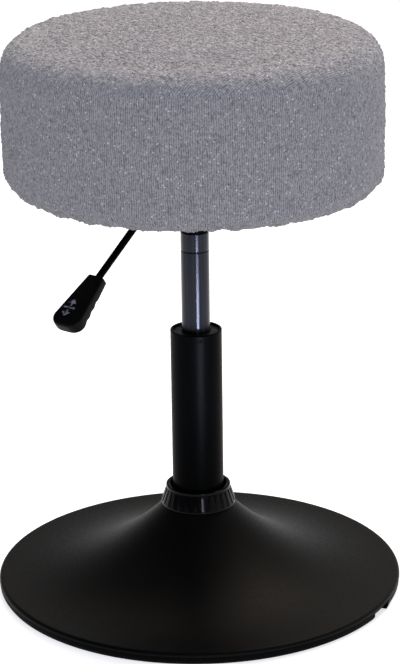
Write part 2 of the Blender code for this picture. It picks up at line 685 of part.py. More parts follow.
def round_outline(curve, centre, radius, sides):
    """Add a circle to a flat curve."""
    points = []
    for i in range(sides):
        bearing = math.tau * i / sides
        points.append((centre[0] + radius * math.cos(bearing), centre[1] + radius * math.sin(bearing)))
    closed_spline(curve, points)


def closed_spline(curve, points):
    spline = curve.splines.new("POLY")
    spline.points.add(len(points) - 1)
    for point, (x, y) in zip(spline.points, points):
        point.co = (x, y, 0.0, 1.0)
    spline.use_cyclic_u = True


def bolt_places():
    half = BOLT_SPACING / 2
    return [(half, half), (-half, half), (-half, -half), (half, -half)]


def build_carrier(seat):
    bore_low = taper_radius(HUB_LOW) + TOUCH
    bore_high = taper_radius(HUB_HIGH) + TOUCH
    outer = CYLINDER_RADIUS + TOUCH + HUB_WALL
    hub = [(outer - EDGE, HUB_HIGH), (outer, HUB_HIGH - EDGE), (outer, HUB_LOW + 2.0 * EDGE),
           (outer - 2.0 * EDGE, HUB_LOW), (bore_low, HUB_LOW), (bore_high, HUB_HIGH)]
    turned("taper_hub", hub, STEPS_COLUMN, BLACK_COAT, seat)

    curve = bpy.data.curves.new("seat_plate", "CURVE")
    curve.dimensions = "2D"
    curve.fill_mode = "BOTH"
    curve.extrude = PLATE_THICK / 2
    rounded_outline(curve, PLATE_SIZE, PLATE_CORNER)
    round_outline(curve, (0.0, 0.0), PLATE_OPENING, STEPS_SMALL)
    for place in bolt_places():
        round_outline(curve, place, BOLT_RADIUS + TOUCH, STEPS_TINY)
    plate = bpy.data.objects.new("seat_plate", curve)
    plate.location = (0.0, 0.0, (PLATE_LOW + PLATE_HIGH) / 2)
    place_piece(plate, BLACK_COAT, seat)

    build_channel(seat, outer)
    for number, (x, y) in enumerate(bolt_places(), start=1):
        build_fastener(seat, number, x, y)


def build_channel(seat, hub_radius):
    """A folded U of sheet under the plate, with holes for the hub and the pivot pin."""
    half = CHANNEL_WIDTH / 2
    high = PLATE_LOW - TOUCH
    corners = []
    for x in (-CHANNEL_BACK, CHANNEL_FRONT):
        corners += [(x, -half, high), (x, -half, WEB_LOW), (x, half, WEB_LOW), (x, half, high)]
    faces = [(0, 4, 5, 1), (1, 5, 6, 2), (2, 6, 7, 3)]
    mesh = bpy.data.meshes.new("bracket_channel")
    mesh.from_pydata(corners, [], faces)
    channel = bpy.data.objects.new("bracket_channel", mesh)
    fold = channel.modifiers.new("fold", "BEVEL")
    fold.width = 2.0 * SHEET
    fold.segments = 3
    fold.limit_method = "ANGLE"
    sheet = channel.modifiers.new("sheet", "SOLIDIFY")
    sheet.thickness = SHEET
    sheet.offset = 1.0
    sheet.use_even_offset = True
    place_piece(channel, BLACK_COAT, seat)
    hub_hole = pegs("channel_hub_hole", [(0.0, 0.0)], hub_radius + TOUCH, WEB_LOW - CUT_OVER,
                    WEB_LOW + SHEET + CUT_OVER, STEPS_COLUMN, seat)
    cut(channel, hub_hole)
    pin_hole = cross_peg("channel_pin_hole", (LEVER_PIVOT, 0.0, PIVOT_HEIGHT), PIN_RADIUS + TOUCH,
                         2.0 * CHANNEL_WIDTH, STEPS_TINY, seat)
    cut(channel, pin_hole)


def build_fastener(seat, number, x, y):
    """A hex bolt, its spring washer and its T-nut."""
    washer_high = PLATE_LOW - TOUCH
    washer_low = washer_high - SPRING_WASHER_THICK
    head_high = washer_low - TOUCH
    head_low = head_high - BOLT_HEAD_HEIGHT
    shank_high = BOARD_HIGH - 2.0 * TOUCH
    shape = bmesh.new()
    hexagon = []
    for i in range(6):
        bearing = math.tau * i / 6
        hexagon.append((BOLT_HEAD * math.cos(bearing), BOLT_HEAD * math.sin(bearing)))
    low_ring = [shape.verts.new((a, b, head_low)) for a, b in hexagon]
    high_ring = [shape.verts.new((a, b, head_high)) for a, b in hexagon]
    shank = []
    for height in (head_high, shank_high):
        loop = []
        for i in range(12):
            bearing = math.tau * i / 12
            spot = (BOLT_RADIUS * math.cos(bearing), BOLT_RADIUS * math.sin(bearing), height)
            loop.append(shape.verts.new(spot))
        shank.append(loop)
    shape.faces.new(low_ring[::-1])
    for i in range(6):
        j = (i + 1) % 6
        shape.faces.new((low_ring[i], low_ring[j], high_ring[j], high_ring[i]))
        a, b, c = shank[0][2 * i], shank[0][2 * i + 1], shank[0][(2 * i + 2) % 12]
        shape.faces.new((high_ring[i], high_ring[j], c, b, a))
    for i in range(12):
        j = (i + 1) % 12
        shape.faces.new((shank[0][i], shank[0][j], shank[1][j], shank[1][i]))
    shape.faces.new(shank[1])
    bmesh.ops.recalc_face_normals(shape, faces=shape.faces)
    mesh = bpy.data.meshes.new("bolt")
    shape.to_mesh(mesh)
    shape.free()
    bolt = bpy.data.objects.new("bolt_%d" % number, mesh)
    bolt.location = (x, y, 0.0)
    place_piece(bolt, ZINC_STEEL, seat)

    washer = ring("spring_washer_%d" % number, BOLT_RADIUS + TOUCH, SPRING_WASHER_RADIUS,
                  washer_low, washer_high, STEPS_TINY, ZINC_STEEL, seat)
    washer.location = (x, y, 0.0)

    bore = BOLT_RADIUS + TOUCH
    barrel = bore + NUT_WALL
    flange_high = BOARD_HIGH - TOUCH
    flange_low = flange_high - NUT_FLANGE_THICK
    low = BOARD_LOW + NUT_ABOVE_BOARD_FACE
    profile = [(NUT_FLANGE_RADIUS, flange_high), (NUT_FLANGE_RADIUS, flange_low), (barrel, flange_low),
               (barrel, low), (bore, low), (bore, flange_high)]
    nut = turned("t_nut_%d" % number, profile, STEPS_TINY, ZINC_STEEL, seat)
    nut.location = (x, y, 0.0)


# Lever

def lever_points():
    """Centre line of the rod in the pivot's frame, from the button to the handle."""
    height = LEVER_HEIGHT - PIVOT_HEIGHT
    bend = Vector((LEVER_BEND - LEVER_PIVOT, height))
    down = Vector((math.cos(LEVER_SLOPE), -math.sin(LEVER_SLOPE)))
    lead = LEVER_BEND_RADIUS * math.tan(LEVER_SLOPE / 2)
    centre = (bend.x - lead, height - LEVER_BEND_RADIUS)
    points = [Vector((-LEVER_OVERHANG - LEVER_PIVOT, height))]
    for across, rise in arc(centre, LEVER_BEND_RADIUS, 0.0, LEVER_SLOPE, 4):
        points.append(Vector((across, rise)))
    points.append(bend + down * (LEVER_SHANK + LEVER_IN_HANDLE))
    neck = bend + down * LEVER_SHANK
    return points, neck


def build_lever(seat):
    pivot = anchor("lever_pivot", (LEVER_PIVOT, 0.0, PIVOT_HEIGHT), 0.0, seat)
    points, neck = lever_points()
    curve = bpy.data.curves.new("lever_rod", "CURVE")
    curve.dimensions = "3D"
    curve.bevel_depth = LEVER_RADIUS
    curve.bevel_resolution = 4
    curve.use_fill_caps = True
    spline = curve.splines.new("POLY")
    spline.points.add(len(points) - 1)
    for point, place in zip(spline.points, points):
        point.co = (place.x, 0.0, place.y, 1.0)
    place_piece(bpy.data.objects.new("lever_rod", curve), BLACK_COAT, pivot)

    lying = (math.pi / 2, 0.0, 0.0)
    clear_width = CHANNEL_WIDTH - 2.0 * SHEET
    half = clear_width / 2 - PLAY
    sleeve = ring("lever_sleeve", PIN_RADIUS + PLAY, SLEEVE_RADIUS, -half, half, STEPS_SMALL,
                  BLACK_COAT, pivot)
    sleeve.rotation_euler = lying

    wall = CHANNEL_WIDTH / 2
    clip_in = wall + TOUCH
    clip_out = clip_in + PIN_CLIP_THICK
    end = wall + PIN_END
    neck_radius = PIN_RADIUS - PIN_GROOVE_DEPTH
    side = [(PIN_RADIUS - EDGE, end), (PIN_RADIUS, end - EDGE), (PIN_RADIUS, clip_out + TOUCH),
            (neck_radius, clip_out + TOUCH), (neck_radius, clip_in - 0.5 * TOUCH),
            (PIN_RADIUS, clip_in - 0.5 * TOUCH)]
    mirrored = [(radius, -height) for radius, height in side[::-1]]
    pin_axis = anchor("pin_axis", (LEVER_PIVOT, 0.0, PIVOT_HEIGHT), 0.0, seat)
    profile = [(0.0, end)] + side + mirrored + [(0.0, -end)]
    pin = turned("pivot_pin", profile, STEPS_TINY, ZINC_STEEL, pin_axis)
    pin.rotation_euler = lying
    for number, (low, high) in enumerate(((clip_in, clip_out), (-clip_out, -clip_in)), start=1):
        clip = ring("pin_clip_%d" % number, neck_radius + TOUCH, PIN_CLIP_RADIUS, low, high, STEPS_TINY,
                    ZINC_STEEL, pin_axis)
        clip.rotation_euler = lying
    build_handle(pivot, neck)


def handle_section(along):
    """Half width, top and underside of the paddle at a distance from its neck."""
    share = along / HANDLE_LENGTH
    half_width = (HANDLE_NECK_WIDTH + (HANDLE_END_WIDTH - HANDLE_NECK_WIDTH) * share) / 2
    thick = HANDLE_NECK_THICK + (HANDLE_END_THICK - HANDLE_NECK_THICK) * share
    top = HANDLE_NECK_THICK / 2
    low = top - thick
    grip_start = 0.3 * HANDLE_LENGTH
    grip_end = HANDLE_LENGTH - HANDLE_NOSE
    if grip_start < along < grip_end:
        wave = (along - grip_start) / (grip_end - grip_start) * HANDLE_GRIPS
        low += HANDLE_GRIP_DEPTH * math.sin(math.pi * wave) ** 2
    nose = max(0.0, along - (HANDLE_LENGTH - HANDLE_NOSE)) / HANDLE_NOSE
    round_in = 1.0 - math.sqrt(max(0.0, 1.0 - nose * nose))
    half_width -= round_in * (half_width - HANDLE_TIP_HALF)
    top -= round_in * 0.25 * thick
    low += round_in * 0.25 * thick
    return half_width, top, low


def build_handle(pivot, neck):
    """A paddle lofted through rounded sections, with finger grips on its underside."""
    shape = bmesh.new()
    nose = HANDLE_NOSE / HANDLE_LENGTH
    stations = [0.0, 0.12, 0.3]
    stations += [0.3 + (0.7 - nose) * i / 12 for i in range(1, 13)]
    stations += [1.0 - nose * k for k in (0.75, 0.5, 0.28, 0.12, 0.03, 0.0)]
    loops = []
    for share in sorted(set(stations)):
        along = share * HANDLE_LENGTH
        half_width, top, low = handle_section(along)
        loop = []
        for side, level, start in ((1, top, 0), (-1, top, 1), (-1, low, 2), (1, low, 3)):
            turn_in = -1 if level == top else 1
            for i in range(3):
                bearing = math.pi / 2 * (start + i / 2)
                y = side * (half_width - HANDLE_CORNER) + HANDLE_CORNER * math.cos(bearing)
                z = level + turn_in * HANDLE_CORNER + HANDLE_CORNER * math.sin(bearing)
                loop.append(shape.verts.new((along, y, z)))
        loops.append(loop)
    count = len(loops[0])
    for here, there in zip(loops, loops[1:]):
        for k in range(count):
            after = (k + 1) % count
            shape.faces.new((here[k], here[after], there[after], there[k]))
    shape.faces.new(loops[0][::-1])
    shape.faces.new(loops[-1])
    bmesh.ops.recalc_face_normals(shape, faces=shape.faces)
    mesh = bpy.data.meshes.new("lever_handle")
    shape.to_mesh(mesh)
    shape.free()
    handle = bpy.data.objects.new("lever_handle", mesh)
    grip = anchor("handle_axis", (neck.x, 0.0, neck.y), 0.0, pivot)
    grip.rotation_euler = (0.0, LEVER_SLOPE, 0.0)
    place_piece(handle, BLACK_PLASTIC, grip)

    bore = bmesh.new()
    depth = LEVER_IN_HANDLE + TOUCH
    middle = (depth - CUT_OVER) / 2
    lying = Matrix.Translation((middle, 0.0, 0.0)) @ Matrix.Rotation(math.pi / 2, 4, "Y")
    bmesh.ops.create_cone(bore, cap_ends=True, segments=16, radius1=LEVER_RADIUS + TOUCH,
                          radius2=LEVER_RADIUS + TOUCH, depth=depth + CUT_OVER, matrix=lying)
    tool = bpy.data.meshes.new("handle_bore")
    bore.to_mesh(tool)
    bore.free()
    cut(handle, cutter("handle_bore", tool, grip))


# Seat

def top_face(inset):
    """Crown and rounded edge, from the axis to straight down the side."""
    flat = SEAT_RADIUS - SEAT_TOP_ROUND
    path = []
    for share in (0.0, 0.4, 0.75):
        path.append((share * flat, SEAT_HIGH - inset + SEAT_CROWN * (1.0 - share * share)))
    centre = (flat, SEAT_HIGH - SEAT_TOP_ROUND)
    return path, centre, SEAT_TOP_ROUND - inset


def side_face(inset):
    """The side and the low edge, down to the lowest rim."""
    radius = SEAT_RADIUS - inset
    start = SEAT_HIGH - SEAT_TOP_ROUND
    end = SEAT_LOW + SEAT_LOW_ROUND
    path = []
    for share in (0.25, 0.5, 0.75):
        swell = SEAT_SIDE_SWELL * math.sin(math.pi * share)
        path.append((radius + swell, start + (end - start) * share))
    centre = (LOW_ROUND_RADIUS, end)
    return path, centre, SEAT_LOW_ROUND - inset


def build_seat(seat):
    board = [(0.0, BOARD_HIGH), (BOARD_RADIUS, BOARD_HIGH), (BOARD_RADIUS, BOARD_LOW), (0.0, BOARD_LOW)]
    panel = turned("seat_board", board, STEPS_SEAT, PLYWOOD, seat)
    barrel = BOLT_RADIUS + TOUCH + NUT_WALL + TOUCH
    recess = BOARD_HIGH - NUT_FLANGE_THICK - 2.0 * TOUCH
    cut(panel, pegs("board_holes", bolt_places(), barrel, BOARD_LOW - CUT_OVER, recess + TOUCH,
                    STEPS_TINY, seat))
    cut(panel, pegs("board_recesses", bolt_places(), NUT_FLANGE_RADIUS + 2.0 * TOUCH, recess,
                    BOARD_HIGH + CUT_OVER, STEPS_TINY, seat))

    inset = COVER_THICK + SEAM_DIP + TOUCH
    crown, top_centre, top_round = top_face(inset)
    side, low_centre, low_round = side_face(inset)
    low_end = math.pi - math.asin((BOARD_RADIUS + TOUCH - low_centre[0]) / low_round)
    foam = crown + arc(top_centre, top_round, 0.0, math.pi / 2, 4) + side
    foam += arc(low_centre, low_round, math.pi / 2, low_end, 3)
    foam += [(BOARD_RADIUS + TOUCH, BOARD_HIGH + TOUCH), (0.0, BOARD_HIGH + TOUCH)]
    turned("seat_foam", foam, STEPS_SEAT, FOAM, seat)

    half_gap = SEAM_GAP / SEAT_TOP_ROUND / 2
    approach = math.radians(8.0)
    crown, top_centre, top_round = top_face(0.0)
    side, low_centre, low_round = side_face(0.0)
    dipped = top_round - SEAM_DIP
    panel_end = arc(top_centre, dipped, SEAM_BEARING - half_gap, SEAM_BEARING - half_gap, 1)[:1]
    top_path = crown + arc(top_centre, top_round, 0.0, SEAM_BEARING - approach, 4) + panel_end
    turned("cover_top", top_path + inside(top_path, COVER_THICK)[::-1], STEPS_SEAT, BOUCLE, seat)

    band_start = arc(top_centre, dipped, SEAM_BEARING + half_gap, SEAM_BEARING + half_gap, 1)[:1]
    band_path = band_start + arc(top_centre, top_round, SEAM_BEARING + approach, math.pi / 2, 1) + side
    band_path += arc(low_centre, low_round, math.pi / 2, math.pi, 4)
    band_path += [(HEM_OUTER, HEM_LOW), (HEM_INNER, HEM_LOW)]
    turned("cover_band", band_path + inside(band_path, COVER_THICK)[::-1], STEPS_SEAT, BOUCLE, seat)

    under_hem = HEM_LOW - TOUCH
    dust_path = [(0.0, DUST_HIGH), (HEM_INNER - DUST_STEP, DUST_HIGH), (HEM_INNER - DUST_CLEAR, under_hem),
                 (HEM_OUTER - EDGE, under_hem)]
    profile = dust_path + inside(dust_path, DUST_THICK)[::-1]
    dust = turned("dust_cover", profile, STEPS_COLUMN, NONWOVEN, seat)
    cut(dust, pegs("dust_holes", bolt_places(), BOLT_RADIUS + TOUCH, DUST_LOW - CUT_OVER,
                   DUST_HIGH + CUT_OVER, STEPS_TINY, seat))


def main():
    swivel = anchor("swivel_axis")
    seat = anchor("seat_axis", turn=SEAT_TURN)
    build_foot()
    build_column()
    build_bearing()
    build_rod(swivel)
    build_lift(seat)
    build_carrier(seat)
    build_lever(seat)
    build_seat(seat)


main()
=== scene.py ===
# %% [markdown]
# # A swivel vanity stool, dressed for its picture
# The solids of this stool were measured before this script runs. They give the true
# sizes, but they are plain and faceted. Here each piece that shows gets the shape, the
# surface and the colour of the real one. We start by loading the solids as a fixed frame.

import json
import math

import bmesh
import bpy
import numpy as np
from mathutils import Matrix, Vector, noise
from mathutils.bvhtree import BVHTree


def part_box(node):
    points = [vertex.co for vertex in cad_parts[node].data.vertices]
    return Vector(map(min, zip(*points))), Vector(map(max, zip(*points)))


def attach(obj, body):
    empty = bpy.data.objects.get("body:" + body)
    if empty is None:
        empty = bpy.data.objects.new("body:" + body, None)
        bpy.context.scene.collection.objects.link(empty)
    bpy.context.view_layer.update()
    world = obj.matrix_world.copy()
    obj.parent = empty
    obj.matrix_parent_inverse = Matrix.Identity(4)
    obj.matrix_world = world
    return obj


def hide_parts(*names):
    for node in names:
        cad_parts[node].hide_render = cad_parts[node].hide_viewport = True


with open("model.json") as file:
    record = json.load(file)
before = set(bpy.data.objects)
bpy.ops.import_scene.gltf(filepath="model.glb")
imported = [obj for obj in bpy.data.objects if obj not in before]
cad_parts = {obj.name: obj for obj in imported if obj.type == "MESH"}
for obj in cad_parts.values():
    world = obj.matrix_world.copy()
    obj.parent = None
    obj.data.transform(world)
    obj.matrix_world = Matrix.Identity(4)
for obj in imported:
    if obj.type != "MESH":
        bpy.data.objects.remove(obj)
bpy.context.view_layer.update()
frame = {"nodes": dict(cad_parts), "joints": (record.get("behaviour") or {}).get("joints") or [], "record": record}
scene = bpy.context.scene
MM = 0.001


# %% [markdown]
# ## The camera
# The photograph was taken from about two and a half metres, well above the seat,
# with a long lens. The column's slight lean in the picture is the camera's own roll.
# We could turn the camera by eye, but here its place and turn were solved from the
# outlines of the foot, the column and the seat, so the matrix is built from angles.

# %% Stand the camera where the photographer stood
CAMERA_PLACE = Vector((-0.0112, -2.4252, 1.0917))
LOOKING_DOWN = math.radians(18.84)
LOOKING_ASIDE = math.radians(0.3563)
CAMERA_ROLL = math.radians(-0.8009)
PICTURE_HEIGHT = 664        # pixels
FOCAL_LENGTH = 2593.1       # in pixels of the picture
SENSOR = 36.0               # millimetres along the picture's longer side

lens = bpy.data.cameras.new("photo_camera")
lens.sensor_width = SENSOR
lens.lens = SENSOR * FOCAL_LENGTH / PICTURE_HEIGHT
camera = bpy.data.objects.new("photo_camera", lens)
scene.collection.objects.link(camera)
ahead = Vector((math.sin(LOOKING_ASIDE) * math.cos(LOOKING_DOWN),
                math.cos(LOOKING_ASIDE) * math.cos(LOOKING_DOWN), -math.sin(LOOKING_DOWN)))
level = Vector((math.cos(LOOKING_ASIDE), -math.sin(LOOKING_ASIDE), 0.0))
upright = level.cross(ahead)
across = math.cos(CAMERA_ROLL) * level + math.sin(CAMERA_ROLL) * upright
up = math.cos(CAMERA_ROLL) * upright - math.sin(CAMERA_ROLL) * level
turn = Matrix((across, up, -ahead)).transposed().to_4x4()
camera.matrix_world = Matrix.Translation(CAMERA_PLACE) @ turn
scene.camera = camera
print("lens of", round(lens.lens, 1), "mm, looking down", round(math.degrees(LOOKING_DOWN), 1), "degrees")

# %% [markdown]
# ## One way to add a node
# Materials and Geometry Nodes are both node trees. Every node in this file is added by
# one small function: it takes the tree, the kind of node, what each input is wired to
# or set to, the stops of a colour ramp, and the node's own settings. Colours are written
# as the hex values that a colour picker shows, and one function turns them into the
# linear values that Blender's sockets hold.

# %% Helpers for nodes and colours
def colour(hex_value):
    """Linear colour of a six-digit sRGB hex value."""
    shares = [int(hex_value[i:i + 2], 16) / 255.0 for i in (0, 2, 4)]
    return [s / 12.92 if s <= 0.04045 else ((s + 0.055) / 1.055) ** 2.4 for s in shares] + [1.0]


def wire(tree, node, wires):
    """Feed each socket of a node from another socket, or set its value."""
    for socket, source in wires.items():
        if isinstance(source, bpy.types.NodeSocket):
            tree.links.new(source, node.inputs[socket])
        else:
            node.inputs[socket].default_value = source


def add(tree, kind, wires=None, stops=(), **settings):
    """Add a node; a ramp's stops are pairs of a place and a hex value."""
    node = tree.nodes.new(kind)
    for name, value in settings.items():
        setattr(node, name, value)
    wire(tree, node, wires or {})
    for k, (place, hex_value) in enumerate(stops):
        ramp = node.color_ramp.elements
        stop = ramp[k] if k < 2 else ramp.new(place)
        stop.position = place
        stop.color = colour(hex_value)
    return node


def new_finish(name, **constants):
    """A material with one Principled shader, whose constant values sit on its own sockets."""
    material = bpy.data.materials.new(name)
    material.use_nodes = True
    tree = material.node_tree
    shader = tree.nodes["Principled BSDF"]
    wire(tree, shader, {socket.replace("_", " "): value for socket, value in constants.items()})
    return material, tree, shader


def per_metre(size_in_mm):
    """Scale of a texture whose features are this many millimetres across."""
    return 1000.0 / size_in_mm


print("a mid grey of 7f7f7f is", round(colour("7f7f7f")[0], 4), "in linear light")

# %% [markdown]
# ## Black powder and black paint
# The foot is steel with a baked polyester powder. Powder melts into a satin skin with a
# faint orange peel: the eye sees a deep black with broad soft reflections that break up a
# little. Real orange peel is about a millimetre across, which is one pixel here, so it is
# drawn at two and a half millimetres to show at all. The column, the bracket and the lever
# are sprayed with a thinner and smoother paint that mirrors less, so they look deeper.

# %% Powder coat and paint
CLOUD = 38.0            # millimetres across a cloud in the black
PEEL = 2.5              # millimetres across a dimple of the orange peel
PEEL_HEIGHT = 0.25


def black_coat(name, gloss, dark, light, smoothest, roughest, peel_lift):
    """Black whose tone drifts slowly and whose gloss breaks up in a fine peel."""
    material, tree, shader = new_finish(name, Specular_IOR_Level=gloss)
    place = add(tree, "ShaderNodeTexCoord").outputs["Object"]
    cloudy = add(tree, "ShaderNodeTexNoise", {"Vector": place, "Scale": per_metre(CLOUD), "Detail": 3.0})
    peel = add(tree, "ShaderNodeTexNoise", {"Vector": place, "Scale": per_metre(PEEL), "Detail": 2.0})
    black = add(tree, "ShaderNodeValToRGB", {"Fac": cloudy.outputs["Fac"]}, ((0.3, dark), (0.7, light)))
    satin = add(tree, "ShaderNodeMapRange", {"Value": peel.outputs["Fac"], "From Min": 0.3, "From Max": 0.7,
                                             "To Min": smoothest, "To Max": roughest})
    bump = add(tree, "ShaderNodeBump", {"Height": peel.outputs["Fac"], "Strength": peel_lift,
                                        "Distance": PEEL_HEIGHT * MM})
    wire(tree, shader, {"Base Color": black.outputs["Color"], "Roughness": satin.outputs["Result"],
                        "Normal": bump.outputs["Normal"]})
    return material


POWDER_COAT = black_coat("satin_black_powder_coat", 0.1, "030404", "060708", 0.46, 0.56, 0.08)
BLACK_PAINT = black_coat("smooth_black_paint", 0.02, "020303", "040506", 0.34, 0.42, 0.04)
print("made", POWDER_COAT.name, "and", BLACK_PAINT.name)

# %% [markdown]
# ## Black chromed steel
# The lift's cylinder is ground and then plated dark. The grinding wheel leaves scratches
# round it, far too fine to see, but they smear every reflection along the cylinder, so a
# lamp shows as one long narrow streak. That is anisotropic gloss: rough along Z and smooth
# round it. The few lines that do show are noise squeezed across and stretched along Z.

# %% Dark plated cylinder
DRAWN_LINE = 1.6        # millimetres across a line
DRAWN_SHARE = 0.012     # a line's width as a share of its length


def dark_plate():
    """Dark metal that draws a reflection out along the cylinder."""
    material, tree, shader = new_finish("dark_plated_steel", Metallic=1.0, Anisotropic=0.92,
                                        Anisotropic_Rotation=0.25)
    round_z = add(tree, "ShaderNodeTangent", direction_type="RADIAL", axis="Z")
    place = add(tree, "ShaderNodeTexCoord").outputs["Object"]
    drawn = add(tree, "ShaderNodeMapping", {"Vector": place, "Scale": (1.0, 1.0, DRAWN_SHARE)})
    lines = add(tree, "ShaderNodeTexNoise", {"Vector": drawn.outputs["Vector"],
                                             "Scale": per_metre(DRAWN_LINE), "Detail": 2.0})
    tint = add(tree, "ShaderNodeValToRGB", {"Fac": lines.outputs["Fac"]},
               ((0.3, "2a2b31"), (0.7, "36383f")))
    worn = add(tree, "ShaderNodeMapRange", {"Value": lines.outputs["Fac"], "From Min": 0.3, "From Max": 0.7,
                                            "To Min": 0.22, "To Max": 0.3})
    wire(tree, shader, {"Base Color": tint.outputs["Color"], "Roughness": worn.outputs["Result"],
                        "Tangent": round_z.outputs["Tangent"]})
    return material


DARK_PLATE = dark_plate()
print("made", DARK_PLATE.name)

# %% [markdown]
# ## Rubber, plastics and bright metals
# Six more finishes share one recipe: a colour that wanders between two near values, a
# roughness that wanders with it, and a slight bump. Extruded rubber is dull and a bit
# dusty, moulded ABS is glossy on the collar and spark-textured on the handle, and the
# acetal bush is a waxy grey. Zinc plate is a bright grey metal with a patchy sheen, and
# turned aluminium is paler still. Writing the recipe once keeps their differences easy to
# see.

# %% Finishes that share a recipe
SPECK_HEIGHT = 0.2      # millimetres


def speckled(name, dark, light, grain, rough, lift, **constants):
    """Two near colours, a range of roughness and a bump, all from one grain in millimetres."""
    material, tree, shader = new_finish(name, **constants)
    place = add(tree, "ShaderNodeTexCoord").outputs["Object"]
    speck = add(tree, "ShaderNodeTexNoise", {"Vector": place, "Scale": per_metre(grain), "Detail": 4.0,
                                             "Roughness": 0.6})
    tint = add(tree, "ShaderNodeValToRGB", {"Fac": speck.outputs["Fac"]}, ((0.32, dark), (0.68, light)))
    sheen = add(tree, "ShaderNodeMapRange", {"Value": speck.outputs["Fac"], "From Min": 0.3,
                                             "From Max": 0.7, "To Min": rough[0], "To Max": rough[1]})
    bump = add(tree, "ShaderNodeBump", {"Height": speck.outputs["Fac"], "Strength": lift,
                                        "Distance": SPECK_HEIGHT * MM})
    wire(tree, shader, {"Base Color": tint.outputs["Color"], "Roughness": sheen.outputs["Result"],
                        "Normal": bump.outputs["Normal"]})
    return material


RUBBER = speckled("extruded_black_rubber", "040405", "090a0b", 3.0, (0.5, 0.7), 0.2,
                  Specular_IOR_Level=0.04)
GLOSS_ABS = speckled("glossy_black_abs", "040405", "070709", 9.0, (0.12, 0.18), 0.04,
                     Specular_IOR_Level=0.09)
GRIP_ABS = speckled("textured_black_abs", "060607", "0a0a0c", 1.8, (0.34, 0.5), 0.25,
                    Specular_IOR_Level=0.07)
ACETAL = speckled("grey_acetal", "1b1c1e", "27292b", 5.0, (0.4, 0.55), 0.08, Specular_IOR_Level=0.25)
ZINC = speckled("zinc_plated_steel", "9a9da1", "bcbfc2", 4.0, (0.28, 0.45), 0.12, Metallic=1.0)
ALUMINIUM = speckled("lathe_turned_aluminium", "b3b5b8", "cdcfd1", 2.0, (0.3, 0.42), 0.1, Metallic=1.0)
print("made", [m.name for m in (RUBBER, GLOSS_ABS, GRIP_ABS, ACETAL, ZINC, ALUMINIUM)])

# %% [markdown]
# ## What is hidden in the seat
# Under the cloth are a plywood board and a block of foam, and black spun-bonded cloth
# closes the underside. Plywood shows its veneers in stripes up the edge and long grain
# on its faces. Foam is a mass of cells about a millimetre wide. Spun-bond is pressed
# together in rows of small dots, about two millimetres apart.

# %% Plywood, foam and spun-bond
VENEER = 3.0            # millimetres from one veneer to the next
WAVE_PER_SCALE = 20.0   # Blender's wave texture turns by this many radians for a scale of one
WOOD_GRAIN = 40.0       # millimetres along a streak of grain
GRAIN_LENGTH = 12.0     # how many times longer than wide a streak is
FOAM_CELL = 1.2
BOND_DOT = 2.2          # millimetres from one pressed dot to the next


def plywood():
    """Pale wood with long grain, darker between its veneers."""
    material, tree, shader = new_finish("birch_plywood", Roughness=0.6)
    place = add(tree, "ShaderNodeTexCoord").outputs["Object"]
    along = add(tree, "ShaderNodeMapping", {"Vector": place, "Scale": (1.0, GRAIN_LENGTH, 1.0)})
    grain = add(tree, "ShaderNodeTexNoise", {"Vector": along.outputs["Vector"],
                                             "Scale": per_metre(WOOD_GRAIN), "Detail": 5.0})
    veneers = add(tree, "ShaderNodeTexWave",
                  {"Vector": place, "Scale": per_metre(VENEER) / WAVE_PER_SCALE * math.tau,
                   "Distortion": 0.6}, bands_direction="Z")
    mixed = add(tree, "ShaderNodeMath", {0: grain.outputs["Fac"], 1: veneers.outputs["Fac"]},
                operation="MULTIPLY")
    tint = add(tree, "ShaderNodeValToRGB", {"Fac": mixed.outputs["Value"]},
               ((0.1, "a5814f"), (0.6, "cbab7a")))
    wire(tree, shader, {"Base Color": tint.outputs["Color"]})
    return material


def foam_cells():
    """Cream foam with open cells, each painted darker towards its hollow middle as painted shade."""
    material, tree, shader = new_finish("polyurethane_foam", Roughness=0.9)
    place = add(tree, "ShaderNodeTexCoord").outputs["Object"]
    cells = add(tree, "ShaderNodeTexVoronoi", {"Vector": place, "Scale": per_metre(FOAM_CELL)})
    bump = add(tree, "ShaderNodeBump", {"Height": cells.outputs["Distance"], "Strength": 0.5,
                                        "Distance": 0.4 * MM})
    # Each cell is painted darker towards its hollow middle, a painted shade.
    tint = add(tree, "ShaderNodeValToRGB", {"Fac": cells.outputs["Distance"]},
               ((0.0, "c9bd97"), (0.7, "ece4cb")))
    wire(tree, shader, {"Base Color": tint.outputs["Color"], "Normal": bump.outputs["Normal"]})
    return material


def spun_bond():
    """Dull black cloth, pressed in dots."""
    material, tree, shader = new_finish("black_spun_bond", Roughness=0.85, Specular_IOR_Level=0.2)
    place = add(tree, "ShaderNodeTexCoord").outputs["Object"]
    dots = add(tree, "ShaderNodeTexVoronoi", {"Vector": place, "Scale": per_metre(BOND_DOT),
                                              "Randomness": 0.15})
    tint = add(tree, "ShaderNodeValToRGB", {"Fac": dots.outputs["Distance"]},
               ((0.1, "0b0b0c"), (0.45, "1d1d1f")))
    bump = add(tree, "ShaderNodeBump", {"Height": dots.outputs["Distance"], "Strength": 0.5,
                                        "Distance": 0.3 * MM})
    wire(tree, shader, {"Base Color": tint.outputs["Color"], "Normal": bump.outputs["Normal"]})
    return material


PLYWOOD = plywood()
FOAM = foam_cells()
SPUN_BOND = spun_bond()
print("made", PLYWOOD.name, FOAM.name, SPUN_BOND.name)
